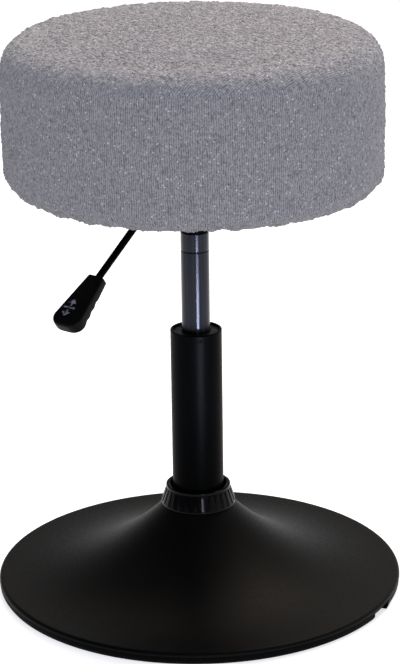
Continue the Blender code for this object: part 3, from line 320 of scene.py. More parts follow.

# %% [markdown]
# ## The nubby cloth
# The seat wears a grey boucle knit. Its yarn is looped and kinked, so the face is a field
# of small nubs, and the knit's upright columns of loops, the wales, still show as lines
# about two millimetres apart. The colour follows the height of this pile. Raised nubs are
# painted paler, partly for dust and partly as a painted highlight. The gaps between wales
# are painted darker, a painted shade. The pattern follows the cloth, not the room, so it
# reads a UV map named cloth that holds real metres along and across the knit. A cosine
# draws the wales, noise makes them waver, and a Voronoi pattern breaks them into nubs.
# Clusters of loops curl away from each other, and the curls between them are a third
# pattern, sunk in the bump and painted dark as painted shade. The curls and their painted
# shade are strong in the middle of the top and at the band's left and right, and weak
# elsewhere, so each piece of cloth carries an attribute that sets how strong they are.
# A last pattern picks about one cell in six for a pale fleck of loose fibre.

# %% Boucle cloth
WALE = 2.1              # millimetres from one column of loops to the next
WAVER = 9.0             # millimetres along which a wale wavers
NUB = 2.2               # millimetres across one nub
KINK = 1.3              # millimetres across a kink of the yarn
FLECK = 2.0             # millimetres across a cell that may hold a fleck
FLECK_FROM = 0.82       # a cell holds one where its random value is above this
CURL = 4.6              # millimetres across a cluster of loops
# Between clusters the knit is sunk in the bump and also painted darker, a painted shade. Each cluster is painted a
# little paler, a painted highlight. An attribute on the cloth sets how strong both are.
CURL_DEPTH_AND_SHADE = 0.32       # how much darker the knit is between clusters, where it is brushed up
CURL_RISE_AND_HIGHLIGHT = 0.09        # how much paler a cluster is, so that the cloth keeps its tone
PILE_HEIGHT = 0.9       # millimetres


def boucle():
    """Grey knit with wales, nubs, curls and pale flecks on the map named cloth; low pile is painted shade, high
    pile painted highlight.
    """
    material, tree, shader = new_finish("grey_boucle_knit", Roughness=0.95, Specular_IOR_Level=0.15,
                                        Sheen_Weight=0.2, Sheen_Roughness=0.6)
    cloth = add(tree, "ShaderNodeUVMap", uv_map="cloth").outputs["UV"]
    waver = add(tree, "ShaderNodeTexNoise", {"Vector": cloth, "Scale": per_metre(WAVER), "Detail": 2.0})
    nubs = add(tree, "ShaderNodeTexVoronoi", {"Vector": cloth, "Scale": per_metre(NUB)},
               feature="SMOOTH_F1")
    kinks = add(tree, "ShaderNodeTexNoise", {"Vector": cloth, "Scale": per_metre(KINK), "Detail": 2.0})
    flecks = add(tree, "ShaderNodeTexVoronoi", {"Vector": cloth, "Scale": per_metre(FLECK)})
    flat = add(tree, "ShaderNodeSeparateXYZ", {"Vector": cloth})
    turns = add(tree, "ShaderNodeMath", {0: flat.outputs["X"], 1: math.tau * per_metre(WALE)},
                operation="MULTIPLY")
    bent = add(tree, "ShaderNodeMath", {0: waver.outputs["Fac"], 1: 8.0, 2: turns.outputs["Value"]},
               operation="MULTIPLY_ADD")
    wales = add(tree, "ShaderNodeMath", {0: bent.outputs["Value"]}, operation="COSINE")
    raised = add(tree, "ShaderNodeMath", {0: nubs.outputs["Distance"], 1: -0.5, 2: 0.6},
                 operation="MULTIPLY_ADD")
    pile = add(tree, "ShaderNodeMath", {0: wales.outputs["Value"], 1: 0.17, 2: raised.outputs["Value"]},
               operation="MULTIPLY_ADD")
    fuzz = add(tree, "ShaderNodeMath", {0: kinks.outputs["Fac"], 1: 0.4, 2: pile.outputs["Value"]},
               operation="MULTIPLY_ADD")
    swirl = add(tree, "ShaderNodeVectorMath", {0: waver.outputs["Color"], 1: (0.006, 0.006, 0.0), 2: cloth},
                operation="MULTIPLY_ADD")
    curls = add(tree, "ShaderNodeTexVoronoi", {"Vector": swirl.outputs["Vector"], "Scale": per_metre(CURL)},
                feature="DISTANCE_TO_EDGE")
    gaps = add(tree, "ShaderNodeMapRange", {"Value": curls.outputs["Distance"], "From Max": 0.16,
                                            "To Min": -CURL_DEPTH_AND_SHADE, "To Max": CURL_RISE_AND_HIGHLIGHT},
               interpolation_type="SMOOTHSTEP")
    # The cloth's attribute sets how deep the curls are sunk and how dark their painted shade is.
    brushed = add(tree, "ShaderNodeAttribute", attribute_name="brushed").outputs["Fac"]
    relief_and_shade = add(tree, "ShaderNodeMath", {0: gaps.outputs["Result"], 1: brushed, 2: fuzz.outputs["Value"]},
               operation="MULTIPLY_ADD")
    # The colour follows the pile's height around the yarn's own grey. Low places are painted dark as painted
    # shade, and high places are painted pale as painted highlight.
    tint = add(tree, "ShaderNodeValToRGB", {"Fac": relief_and_shade.outputs["Value"]},
               ((0.1, "5a5a5e"), (0.3, "78787c"), (0.62, "acabae"), (1.0, "cccbcf")))
    lucky = add(tree, "ShaderNodeMath", {0: flecks.outputs["Color"], 1: FLECK_FROM},
                operation="GREATER_THAN")
    middle = add(tree, "ShaderNodeMath", {0: flecks.outputs["Distance"], 1: 0.4}, operation="LESS_THAN")
    caught = add(tree, "ShaderNodeMath", {0: lucky.outputs["Value"], 1: middle.outputs["Value"]},
                 operation="MULTIPLY")
    speck = add(tree, "ShaderNodeMix", {"Factor": caught.outputs["Value"], 6: tint.outputs["Color"],
                                        7: colour("e8e8ee")}, data_type="RGBA")
    bump = add(tree, "ShaderNodeBump", {"Height": relief_and_shade.outputs["Value"], "Strength": 0.6,
                                        "Distance": PILE_HEIGHT * MM})
    wire(tree, shader, {"Base Color": speck.outputs[2], "Normal": bump.outputs["Normal"]})
    return material


BOUCLE = boucle()
# The nubs' yarn is paler than the knit, partly for dust and partly as a painted highlight.
LOOP_YARN = speckled("boucle_loop_yarn", "8e8d92", "c4c3c8", 5.0, (0.85, 0.95), 0.3,
                     Specular_IOR_Level=0.15, Sheen_Weight=0.25)
print("made", BOUCLE.name, "with wales", WALE, "mm apart, and", LOOP_YARN.name)

# %% [markdown]
# ## Turning
# Most of the metal is round about the column, so most pieces are an outline spun about
# the Z axis. We could use a Screw modifier and leave it live, but a plain mesh is easier
# to check, so bmesh spins the outline, closes the seam and points every face outwards.
# An outline is a list of radius, height and how much its corner is eased, in millimetres.

# %% Helpers that finish and place a piece
def shade(mesh, sharp):
    """Shade smooth, but for edges that bend by more than this many degrees."""
    mesh.shade_smooth()
    mesh.set_sharp_from_angle(angle=math.radians(sharp))


def finish_mesh(shape, name, sharp=35.0):
    """Merge, face outwards and shade."""
    bmesh.ops.remove_doubles(shape, verts=shape.verts, dist=0.002 * MM)
    bmesh.ops.recalc_face_normals(shape, faces=shape.faces)
    mesh = bpy.data.meshes.new(name)
    shape.to_mesh(mesh)
    shape.free()
    shade(mesh, sharp)
    return mesh


def face_outwards(mesh):
    """Point every face of a mesh outwards."""
    shape = bmesh.new()
    shape.from_mesh(mesh)
    bmesh.ops.recalc_face_normals(shape, faces=shape.faces)
    shape.to_mesh(mesh)
    shape.free()


def place_piece(name, mesh, material, body, slot, *nodes):
    """Put a finished mesh in the scene, on its body, in the stead of its solids."""
    mesh.materials.clear()
    mesh.materials.append(material)
    piece = bpy.data.objects.new(name, mesh)
    scene.collection.objects.link(piece)
    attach(piece, body)
    if nodes:
        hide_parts(*nodes)
    mesh.calc_loop_triangles()
    print(name, "has", len(mesh.loop_triangles), "triangles")
    return piece


# %% Helpers for outlines and loops
EASE_STEPS = 4          # straight pieces that stand for one rounded corner
EASE_SHARE = 0.45       # the most of a side that a corner may take


def eased(outline, closed=True):
    """Round each corner of an outline by its third number."""
    points = []
    count = len(outline)
    for i, (radius, height, ease) in enumerate(outline):
        here = Vector((radius, height))
        before = Vector(outline[i - 1][:2])
        after = Vector(outline[(i + 1) % count][:2])
        at_end = not closed and i in (0, count - 1)
        if ease <= 0.0 or at_end:
            points.append(here)
            continue
        start = here + (before - here).normalized() * min(ease, EASE_SHARE * (before - here).length)
        end = here + (after - here).normalized() * min(ease, EASE_SHARE * (after - here).length)
        for k in range(EASE_STEPS + 1):
            share = k / EASE_STEPS
            points.append(start * (1 - share) ** 2 + here * 2 * share * (1 - share) + end * share ** 2)
    return points


def spun(name, points, steps, closed=True, axis=None):
    """Spin points of (radius, height) in millimetres; axis turns the finished shape."""
    shape = bmesh.new()
    verts = [shape.verts.new((p[0] * MM, 0.0, p[1] * MM)) for p in points]
    pairs = list(zip(verts, verts[1:]))
    if closed:
        pairs.append((verts[-1], verts[0]))
    edges = [shape.edges.new(pair) for pair in pairs]
    bmesh.ops.spin(shape, geom=verts + edges, cent=(0, 0, 0), axis=(0, 0, 1), angle=math.tau, steps=steps,
                   use_merge=True)
    if axis is not None:
        bmesh.ops.transform(shape, matrix=axis, verts=shape.verts)
    return finish_mesh(shape, name)


def between(start, end):
    """Corners of the four-sided faces between two closed loops of equal length."""
    count = len(end)
    return [(start[k], start[(k + 1) % count], end[(k + 1) % count], end[k]) for k in range(count)]


def join_loops(shape, loops):
    """Close the skin between each loop of vertices and the next."""
    for here, there in zip(loops, loops[1:]):
        for corners in between(here, there):
            shape.faces.new(corners)


print("an outline's square corner becomes", len(eased([(1, 1, 0.1), (1, 0, 0), (0, 0, 0)])) - 2, "points")

# %% [markdown]
# ## Geometry Nodes for what repeats or follows a path
# Ribs, staples and nubs are one small shape many times over. The foot, its rubber edge and
# the lever rod are one section carried along a path. Both are rules, and a Geometry Nodes
# tree holds a rule well. The helpers below run such a tree on a carrier mesh, take the
# result as a plain mesh and throw the carrier away, so nothing live is left in the scene.

# %% Helpers for node trees
def new_tree(name, **inputs):
    """A geometry tree with named inputs, each given as its socket type."""
    tree = bpy.data.node_groups.new(name, "GeometryNodeTree")
    tree.interface.new_socket("Geometry", in_out="INPUT", socket_type="NodeSocketGeometry")
    tree.interface.new_socket("Geometry", in_out="OUTPUT", socket_type="NodeSocketGeometry")
    for label, kind in inputs.items():
        tree.interface.new_socket(label, in_out="INPUT", socket_type=kind)
    given = add(tree, "NodeGroupInput")
    result = add(tree, "NodeGroupOutput")
    return tree, given.outputs, result


def end_tree(tree, result, geometry, given):
    """Make any copies real and give the whole its material."""
    real = add(tree, "GeometryNodeRealizeInstances", {"Geometry": geometry})
    painted = add(tree, "GeometryNodeSetMaterial", {"Geometry": real.outputs["Geometry"],
                                                    "Material": given["Material"]})
    wire(tree, result, {"Geometry": painted.outputs["Geometry"]})


def stand_in(mesh):
    """An object for a tree or a modifier to work with; it is removed once that has run."""
    holder = bpy.data.objects.new(mesh.name, mesh)
    scene.collection.objects.link(holder)
    return holder


def made_plain(holder):
    """The mesh of an object with its modifiers applied, without the object."""
    graph = bpy.context.evaluated_depsgraph_get()
    mesh = bpy.data.meshes.new_from_object(holder.evaluated_get(graph))
    bpy.data.objects.remove(holder)
    return mesh


def grow(name, carrier_mesh, tree, sharp=50.0, **sizes):
    """Run a tree on a carrier mesh and return what it makes as a plain mesh."""
    carrier = stand_in(carrier_mesh)
    modifier = carrier.modifiers.new("tree", "NODES")
    modifier.node_group = tree
    for item in tree.interface.items_tree:
        if item.in_out == "INPUT" and item.name in sizes:
            modifier[item.identifier] = sizes[item.name]
    mesh = made_plain(carrier)
    mesh.name = name
    shade(mesh, sharp)
    return mesh


print("helpers ready, and", len(bpy.data.node_groups), "trees so far")

# %% A tree that carries a section along a path
CARRIED_SHARP = 35.0    # degrees


def carry_along():
    """Sweeps a section along its carrier; the section's X points to the path's right, its Y down."""
    tree, given, result = new_tree("section_along_a_path", Section="NodeSocketObject",
                                   Material="NodeSocketMaterial")
    way = add(tree, "GeometryNodeMeshToCurve", {"Mesh": given["Geometry"]})
    drawn = add(tree, "GeometryNodeObjectInfo", {"Object": given["Section"]})
    section = add(tree, "GeometryNodeMeshToCurve", {"Mesh": drawn.outputs["Geometry"]})
    swept = add(tree, "GeometryNodeCurveToMesh", {"Curve": way.outputs["Curve"], "Fill Caps": True,
                                                  "Profile Curve": section.outputs["Curve"]})
    end_tree(tree, result, swept.outputs["Mesh"], given)
    return tree


def at_bearing(radius, bearing, height=0.0):
    """A point at this distance from the stool's axis, in millimetres."""
    return Vector((radius * math.cos(bearing), radius * math.sin(bearing), height))


def full_circle(count, radius, height=0.0, first=0.0):
    return [at_bearing(radius, first + math.tau * k / count, height) for k in range(count)]


def line_mesh(name, points, closed):
    """A mesh of edges from each point, in millimetres, to the next."""
    edges = [(k, k + 1) for k in range(len(points) - 1)]
    if closed:
        edges.append((len(points) - 1, 0))
    mesh = bpy.data.meshes.new(name)
    mesh.from_pydata([Vector(p) * MM for p in points], edges, [])
    return mesh


def carried(name, path, section, material, closed):
    """Carry a section of points (outwards, up) along a path, all in millimetres."""
    drawn = stand_in(line_mesh(name + "_section", [(x, -y, 0.0) for x, y in section], True))
    mesh = grow(name, line_mesh(name + "_path", path, closed), ALONG_PATH, CARRIED_SHARP, Section=drawn,
                Material=material)
    bpy.data.objects.remove(drawn)
    face_outwards(mesh)
    return mesh


ALONG_PATH = carry_along()
print("made a tree of", len(ALONG_PATH.nodes), "nodes:", ALONG_PATH.name)

# %% [markdown]
# ## The trumpet foot
# The foot is one disc of steel, spun on a lathe over a former until it flares from a
# neck to a wide rim that is turned down. Its slope follows a power curve: steep by the
# neck, almost level at the rim. We sample that curve closely, step inwards by the
# sheet's thickness for the underside, and the node tree carries the closed outline
# round a circle. Spinning it would do as well, but the tree is there for the rubber too.

# %% Draw the foot's face
BASE_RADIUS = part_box("trumpet_base_shell")[1].x / MM
NECK_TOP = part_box("trumpet_base_shell")[1].z / MM
NECK_RADIUS = 30.9
NECK_STRAIGHT = 2.0             # height of the neck before it bends into the flare
NECK_BEND = math.radians(60.0)
RIM_ROLL = 3.4
FLARE_START = (35.5, 84.0)      # radius and height where the neck has turned into the flare
FLARE_END = (BASE_RADIUS - RIM_ROLL, 12.0)
FLARE_POWER = 2.35
FLARE_STEPS = 60
FLARE_CROWDING = 1.15           # above one, the points crowd towards the neck
ARC_STEPS = 8


def flare(radius):
    """Height of the slope at a radius."""
    share = (FLARE_END[0] - radius) / (FLARE_END[0] - FLARE_START[0])
    return FLARE_END[1] + (FLARE_START[1] - FLARE_END[1]) * share ** FLARE_POWER


neck = [Vector((NECK_RADIUS, NECK_TOP)), Vector((NECK_RADIUS, NECK_TOP - NECK_STRAIGHT / 2))]
for k in range(1, ARC_STEPS + 1):
    bearing = NECK_BEND * k / ARC_STEPS
    out = (FLARE_START[0] - NECK_RADIUS) * (1 - math.cos(bearing)) / (1 - math.cos(NECK_BEND))
    drop = (NECK_TOP - NECK_STRAIGHT - FLARE_START[1]) * math.sin(bearing) / math.sin(NECK_BEND)
    neck.append(Vector((NECK_RADIUS + out, NECK_TOP - NECK_STRAIGHT - drop)))
slope = []
for k in range(1, FLARE_STEPS + 1):
    radius = FLARE_START[0] + (FLARE_END[0] - FLARE_START[0]) * (k / FLARE_STEPS) ** FLARE_CROWDING
    slope.append(Vector((radius, flare(radius))))
rim = []
for k in range(1, ARC_STEPS + 1):
    bearing = math.pi / 2 * k / ARC_STEPS
    rim.append(Vector((FLARE_END[0] + RIM_ROLL * math.sin(bearing),
                       FLARE_END[1] - RIM_ROLL * (1 - math.cos(bearing)))))
print("halfway out the foot's slope is", round(flare(BASE_RADIUS / 2), 1), "mm high")

# %% Give it a wall and carry it round
SHEET_WALL = 1.8
RIM_STRAIGHT = 0.6
LIP_RADIUS = 200.7
LIP_LOW = 4.0
LIP_CLEAR = 0.2                 # the back of the slope stops this far from the lip
FOOT_STEPS = 224


def inwards(points, depth):
    """The same line, one wall thickness to its inner side."""
    line = np.array([tuple(p) for p in points])
    along = np.gradient(line, axis=0)
    along /= np.linalg.norm(along, axis=1)[:, None]
    return line + depth * np.stack([along[:, 1], -along[:, 0]], axis=1)


face = neck + slope
under_rim = FLARE_END[1] - RIM_ROLL - RIM_STRAIGHT
hem = [Vector((BASE_RADIUS, under_rim)), Vector((LIP_RADIUS, under_rim)), Vector((LIP_RADIUS, LIP_LOW))]
lip_back = LIP_RADIUS - SHEET_WALL
back = [Vector(p) for p in inwards(face, SHEET_WALL)]
back = [p for p in back if p.x < lip_back - LIP_CLEAR]
back += [Vector((lip_back, FLARE_END[1] - SHEET_WALL)), Vector((lip_back, LIP_LOW))]
section = [(p.x - BASE_RADIUS, p.y) for p in face + rim + hem + back[::-1]]
shell = carried("trumpet_foot", full_circle(FOOT_STEPS, BASE_RADIUS), section, POWDER_COAT, closed=True)
place_piece("trumpet_foot", shell, POWDER_COAT, "foot", "black_powder_coat", "trumpet_base_shell")

# %% [markdown]
# ## The rubber edge
# A channel of black rubber is pressed onto the foot's lip so that the steel doesn't mark
# the floor. It is a straight strip bent into a ring, so its two ends don't quite meet,
# and one end has crept outwards. A plain spin can't show that. The tree carries the
# strip's section along an open arc from one end to the other, and then the first stretch
# of its outer wall is eased out.

# %% Bend the rubber strip round the lip
TRIM_RADIUS = 200.0
TRIM_OUTER, TRIM_INNER = 202.8, 196.8
GROOVE_OUTER, GROOVE_INNER, GROOVE_FLOOR = 201.0, 198.6, 3.7
TRIM_WALL = 200.7           # the outer wall of the strip lies outside this radius
TRIM_GAP_BEARING = math.radians(-28.5)
TRIM_HALF_GAP = 13.5 / TRIM_RADIUS
TRIM_CREEP = 1.4            # millimetres that the loose end stands out
CREEP_SPAN = 2.2            # degrees along which it comes back to the lip
TRIM_STEPS = 220
trim_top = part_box("edge_trim_ring")[1].z / MM
strip = eased([(TRIM_OUTER, trim_top, 0.5), (TRIM_OUTER, 2.6, 1.4), (200.9, 0.0, 0.6), (197.3, 0.0, 0.6),
               (TRIM_INNER, 1.0, 0.4), (TRIM_INNER, trim_top, 0.5), (GROOVE_INNER, trim_top, 0.2),
               (GROOVE_INNER, GROOVE_FLOOR, 0.2), (GROOVE_OUTER, GROOVE_FLOOR, 0.2),
               (GROOVE_OUTER, trim_top, 0.2)])
first_bearing = TRIM_GAP_BEARING + TRIM_HALF_GAP
way_round = math.tau - 2 * TRIM_HALF_GAP
arc = [at_bearing(TRIM_RADIUS, first_bearing + way_round * k / TRIM_STEPS) for k in range(TRIM_STEPS + 1)]
rubber = carried("rubber_edge", arc, [(p.x - TRIM_RADIUS, p.y) for p in strip], RUBBER, closed=False)
for vert in rubber.vertices:
    radius = math.hypot(vert.co.x, vert.co.y)
    if radius > TRIM_WALL * MM:
        past = math.atan2(vert.co.y, vert.co.x) - first_bearing
        from_end = math.degrees((past + math.pi) % math.tau - math.pi)
        creep = 1.0 + TRIM_CREEP * MM * math.exp(-(from_end / CREEP_SPAN) ** 2) / radius
        vert.co.x *= creep
        vert.co.y *= creep
place_piece("rubber_edge", rubber, RUBBER, "foot", "black_rubber", "edge_trim_ring")

# %% [markdown]
# ## The column
# The column is a welded tube, tapered at its foot where it wedges into the socket under
# the neck. Near its mouth a punch has staked the bush in place, and that leaves a small
# oblong dent in front. The dent needs faces to bend, so the tube's outline has many
# points there, and then the vertices inside the oblong are pushed in.

# %% Turn the tube and stake it
TUBE_LOW, TUBE_TOP = (corner.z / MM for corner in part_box("outer_tube"))
TUBE_RADIUS, TUBE_BORE = 25.5, 22.9
TUBE_END_RADIUS, TUBE_END_BORE = 24.5, 19.9
TUBE_END_WALL = 2.0
TUBE_TAPER = 95.0               # height where the taper starts
TUBE_STEPS = 240
FINE_ROWS, FINE_STEP = 30, 0.25     # rows of small faces below the mouth, for the dent
WIDE_ROWS, WIDE_STEP, WIDE_TOP = 10, 16.0, 240.0
STAKE_BEARING = math.radians(-83.3)
STAKE_HEIGHT = TUBE_TOP - 5.0
STAKE_HALF = (3.0, 1.5)         # millimetres across and up
STAKE_DEPTH = 0.55
STAKE_SQUARE = 6                # the higher, the flatter its floor and the squarer its corners
tube = [(TUBE_RADIUS, TUBE_TOP, 0.9)]
tube += [(TUBE_RADIUS, TUBE_TOP - 1.5 - FINE_STEP * k, 0.0) for k in range(FINE_ROWS)]
tube += [(TUBE_RADIUS, WIDE_TOP - WIDE_STEP * k, 0.0) for k in range(WIDE_ROWS)]
tube += [(TUBE_RADIUS, TUBE_TAPER, 0.0), (TUBE_END_RADIUS, TUBE_LOW, 0.5), (TUBE_END_BORE, TUBE_LOW, 0.3),
         (TUBE_END_BORE, TUBE_LOW + TUBE_END_WALL, 0.3), (TUBE_BORE, TUBE_LOW + TUBE_END_WALL, 0.0),
         (TUBE_BORE, TUBE_TOP, 0.5)]
tube_mesh = spun("column_tube", eased(tube), TUBE_STEPS)
for vert in tube_mesh.vertices:
    radius = math.hypot(vert.co.x, vert.co.y)
    # only the outer face near the mouth can hold the dent
    if radius < (TUBE_RADIUS - 0.3) * MM or vert.co.z < (STAKE_HEIGHT - 10.0) * MM:
        continue
    off = (math.atan2(vert.co.y, vert.co.x) - STAKE_BEARING) * TUBE_RADIUS / STAKE_HALF[0]
    rise = (vert.co.z / MM - STAKE_HEIGHT) / STAKE_HALF[1]
    inside = max(0.0, 1.0 - max(abs(off), abs(rise)) ** STAKE_SQUARE)
    pressed = 1.0 - STAKE_DEPTH * MM * inside / radius
    vert.co.x *= pressed
    vert.co.y *= pressed
place_piece("column_tube", tube_mesh, BLACK_PAINT, "foot", "black_powder_coat", "outer_tube")

# %% [markdown]
# ## Bush, socket and the parts under the tube
# The grey bush in the tube's mouth guides the cylinder. Below, a socket is welded up
# inside the neck, and a disc, a washer and a clip hold the rod at the bottom of the tube.
# They only show from underneath, but they are all round, so the same spin makes them. The
# clip is a solid that stays.

# %% Turn the small rings of the foot
BUSH_RADIUS, BUSH_BORE = 22.6, 14.3
SOCKET_RADIUS, SOCKET_LOW_BORE, SOCKET_TOP_BORE = 28.8, 24.8, 25.8
RING_STEPS, SOCKET_STEPS = 96, 128
bush_low, bush_top = (corner.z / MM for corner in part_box("guide_bush"))
bush = eased([(BUSH_RADIUS, bush_top, 0.6), (BUSH_RADIUS, bush_low, 0.0), (BUSH_BORE, bush_low, 0.0),
              (BUSH_BORE, bush_top, 0.8)])
bush_mesh = spun("guide_sleeve", bush, RING_STEPS)
place_piece("guide_sleeve", bush_mesh, ACETAL, "foot", "grey_plastic", "guide_bush")
socket_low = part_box("base_socket")[0].z / MM
socket = eased([(SOCKET_RADIUS, NECK_TOP, 0.4), (SOCKET_RADIUS, socket_low, 0.6),
                (SOCKET_LOW_BORE, socket_low, 0.6), (SOCKET_TOP_BORE, NECK_TOP, 0.4)])
socket_mesh = spun("taper_socket", socket, SOCKET_STEPS)
place_piece("taper_socket", socket_mesh, POWDER_COAT, "foot", "black_powder_coat", "base_socket")
for node, body, bore in (("tube_foot", "foot", 6.0), ("foot_washer", "rod", 4.3)):
    low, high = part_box(node)
    outer = high.x / MM
    ring = eased([(outer, high.z / MM, 0.4), (outer, low.z / MM, 0.4), (bore, low.z / MM, 0.3),
                  (bore, high.z / MM, 0.3)])
    ring_mesh = spun("turned_" + node, ring, RING_STEPS)
    place_piece("turned_" + node, ring_mesh, ZINC, body, "zinc_steel", node)

# %% [markdown]
# ## The lift's cylinder and hub
# The cylinder slides in the bush. A groove is rolled into it a little below its taper,
# and a thin dark line marks it in the picture. The taper above is painted black where it
# wedges into the hub under the seat, so it gets the black paint. The cylinder is
# one mesh with two materials: the faces above the taper's start take the second.

# %% Turn the cylinder and the hub
CYLINDER_RADIUS, CYLINDER_BORE = 14.0, 12.0
CYLINDER_END_BORE, CYLINDER_END_WALL = 8.7, 2.2
CYLINDER_STEPS = 160
HUB_RADIUS = 19.0
cyl_low, cyl_high = (corner.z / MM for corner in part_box("lift_cylinder"))
hub_low, hub_high = (corner.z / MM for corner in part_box("taper_hub"))
GROOVE = hub_low - 25.0
GROOVE_RADIUS = 13.4
TAPER_START = hub_low - 9.0
PAINT_START = hub_low - 7.0
cylinder_wall = eased([(13.2, cyl_high, 0.5), (13.95, PAINT_START, 0.0),
                       (CYLINDER_RADIUS, TAPER_START, 0.4), (CYLINDER_RADIUS, GROOVE + 0.9, 0.3),
                       (GROOVE_RADIUS, GROOVE + 0.3, 0.2), (GROOVE_RADIUS, GROOVE - 0.3, 0.2),
                       (CYLINDER_RADIUS, GROOVE - 0.9, 0.3),
                       (CYLINDER_RADIUS, 300.0, 0.0), (CYLINDER_RADIUS, 240.0, 0.0),
                       (CYLINDER_RADIUS, cyl_low, 0.6), (CYLINDER_END_BORE, cyl_low, 0.3),
                       (CYLINDER_END_BORE, cyl_low + CYLINDER_END_WALL, 0.2),
                       (CYLINDER_BORE, cyl_low + CYLINDER_END_WALL, 0.0),
                       (CYLINDER_BORE, cyl_high - CYLINDER_END_WALL, 0.0),
                       (CYLINDER_END_BORE, cyl_high - CYLINDER_END_WALL, 0.2),
                       (CYLINDER_END_BORE, cyl_high, 0.3)])
cylinder = spun("lift_tube", cylinder_wall, CYLINDER_STEPS)
place_piece("lift_tube", cylinder, DARK_PLATE, "seat", "gloss_black_steel", "lift_cylinder")
cylinder.materials.append(BLACK_PAINT)
for polygon in cylinder.polygons:
    if polygon.center.z > PAINT_START * MM:
        polygon.material_index = 1
hub = eased([(HUB_RADIUS, hub_high, 0.6), (HUB_RADIUS, hub_low, 1.4), (14.2, hub_low, 0.4),
             (13.5, hub_high, 0.4)])
hub_mesh = spun("taper_hub_turned", hub, RING_STEPS)
place_piece("taper_hub_turned", hub_mesh, BLACK_PAINT, "seat", "black_powder_coat", "taper_hub")

# %% [markdown]
# ## The ribbed collar
# A glossy plastic collar hides the joint of neck and column. It has a smooth lip at its
# top and upright ribs down its skirt for the fingers that push it on. The ring itself is
# spun. One rib is a rounded bar that leans as the skirt does, and the node tree puts a
# copy at each point of a circle, turned to face outwards.

# %% Spin the collar's ring
COLLAR_LIP, COLLAR_BORE = 32.3, 28.7
SKIRT_TOP, SKIRT_LOW = 31.7, 36.9       # radii of the sloping skirt
LIP_HEIGHT = 3.4
COLLAR_STEPS = 168                      # six to a rib
collar_low, collar_high = (corner.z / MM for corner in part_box("ribbed_collar"))
collar = eased([(COLLAR_LIP, collar_high, 1.0), (COLLAR_LIP, collar_high - LIP_HEIGHT, 0.5),
                (SKIRT_TOP, collar_high - 4.0, 0.3), (SKIRT_LOW, collar_low + 1.4, 0.8),
                (37.0, collar_low, 0.3), (35.8, collar_low, 0.2), (31.2, 95.3, 0.3),
                (COLLAR_BORE, collar_high - LIP_HEIGHT, 0.4), (COLLAR_BORE, collar_high, 0.9)])
collar_mesh = spun("collar_ring", collar, COLLAR_STEPS)
place_piece("collar_ring", collar_mesh, GLOSS_ABS, "foot", "black_plastic", "ribbed_collar")

# %% A tree that repeats a shape outwards
def rounded_bar(size, ease, segments):
    """A bar about the origin with rounded edges, in millimetres, not yet a finished mesh."""
    shape = bmesh.new()
    bmesh.ops.create_cube(shape, size=1.0)
    bmesh.ops.scale(shape, vec=[s * MM for s in size], verts=shape.verts)
    bmesh.ops.bevel(shape, geom=shape.edges[:], offset=ease * MM, segments=segments, affect="EDGES",
                    profile=0.5)
    return shape


def ring_of_points(name, count, radius, height, first=0.0):
    """A mesh of loose points on a circle, in millimetres."""
    mesh = bpy.data.meshes.new(name)
    mesh.from_pydata([p * MM for p in full_circle(count, radius, height, first)], [], [])
    return mesh


def repeat_outwards():
    """Puts a shape on each point, turned about Z to face away from the axis."""
    tree, given, result = new_tree("copies_facing_out", Shape="NodeSocketObject",
                                   Material="NodeSocketMaterial")
    shape = add(tree, "GeometryNodeObjectInfo", {"Object": given["Shape"]})
    place = add(tree, "GeometryNodeInputPosition")
    parts = add(tree, "ShaderNodeSeparateXYZ", {"Vector": place.outputs["Position"]})
    bearing = add(tree, "ShaderNodeMath", {0: parts.outputs["Y"], 1: parts.outputs["X"]},
                  operation="ARCTAN2")
    turned = add(tree, "ShaderNodeCombineXYZ", {"Z": bearing.outputs["Value"]})
    points = add(tree, "GeometryNodeMeshToPoints", {"Mesh": given["Geometry"]})
    copies = add(tree, "GeometryNodeInstanceOnPoints", {"Points": points.outputs["Points"],
                                                        "Instance": shape.outputs["Geometry"],
                                                        "Rotation": turned.outputs["Vector"]})
    end_tree(tree, result, copies.outputs["Instances"], given)
    return tree


OUTWARDS = repeat_outwards()
print("made a tree of", len(OUTWARDS.nodes), "nodes:", OUTWARDS.name)

# %% Set the ribs round the skirt
RIB_COUNT = 28
RIB_DEPTH, RIB_WIDTH = 1.9, 3.6
RIB_ROUND = 0.75
RIB_SUNK = 0.15
RIB_SHARP = 20.0
rib_foot = Vector((36.7, 0.0, collar_low + 1.6))
rib_head = Vector((31.9, 0.0, collar_high - 4.6))
rib_middle = (rib_foot + rib_head) / 2
skirt = rib_head - rib_foot
shape = rounded_bar((RIB_DEPTH, RIB_WIDTH, skirt.length), RIB_ROUND, 2)
lean = Matrix.Rotation(math.atan2(skirt.x, skirt.z), 4, "Y")
bmesh.ops.transform(shape, matrix=lean, verts=shape.verts)
rib = stand_in(finish_mesh(shape, "rib", sharp=60.0))
rib_points = ring_of_points("rib_points", RIB_COUNT, rib_middle.x - RIB_SUNK, rib_middle.z,
                            math.pi / RIB_COUNT)
ribs = grow("collar_ribs", rib_points, OUTWARDS, RIB_SHARP, Shape=rib, Material=GLOSS_ABS)
bpy.data.objects.remove(rib)
place_piece("collar_ribs", ribs, GLOSS_ABS, "foot", "black_plastic")

# %% [markdown]
# ## The lever
# The lever is a bent steel rod. Its inner end lies over the valve's button, a short
# sleeve under it turns on a cross pin, and its outer end carries a paddle handle. The
# lever's side of the stool is turned to the front left, so we read that bearing from the
# hinge in the frame. The tree carries a round section along the bent line.

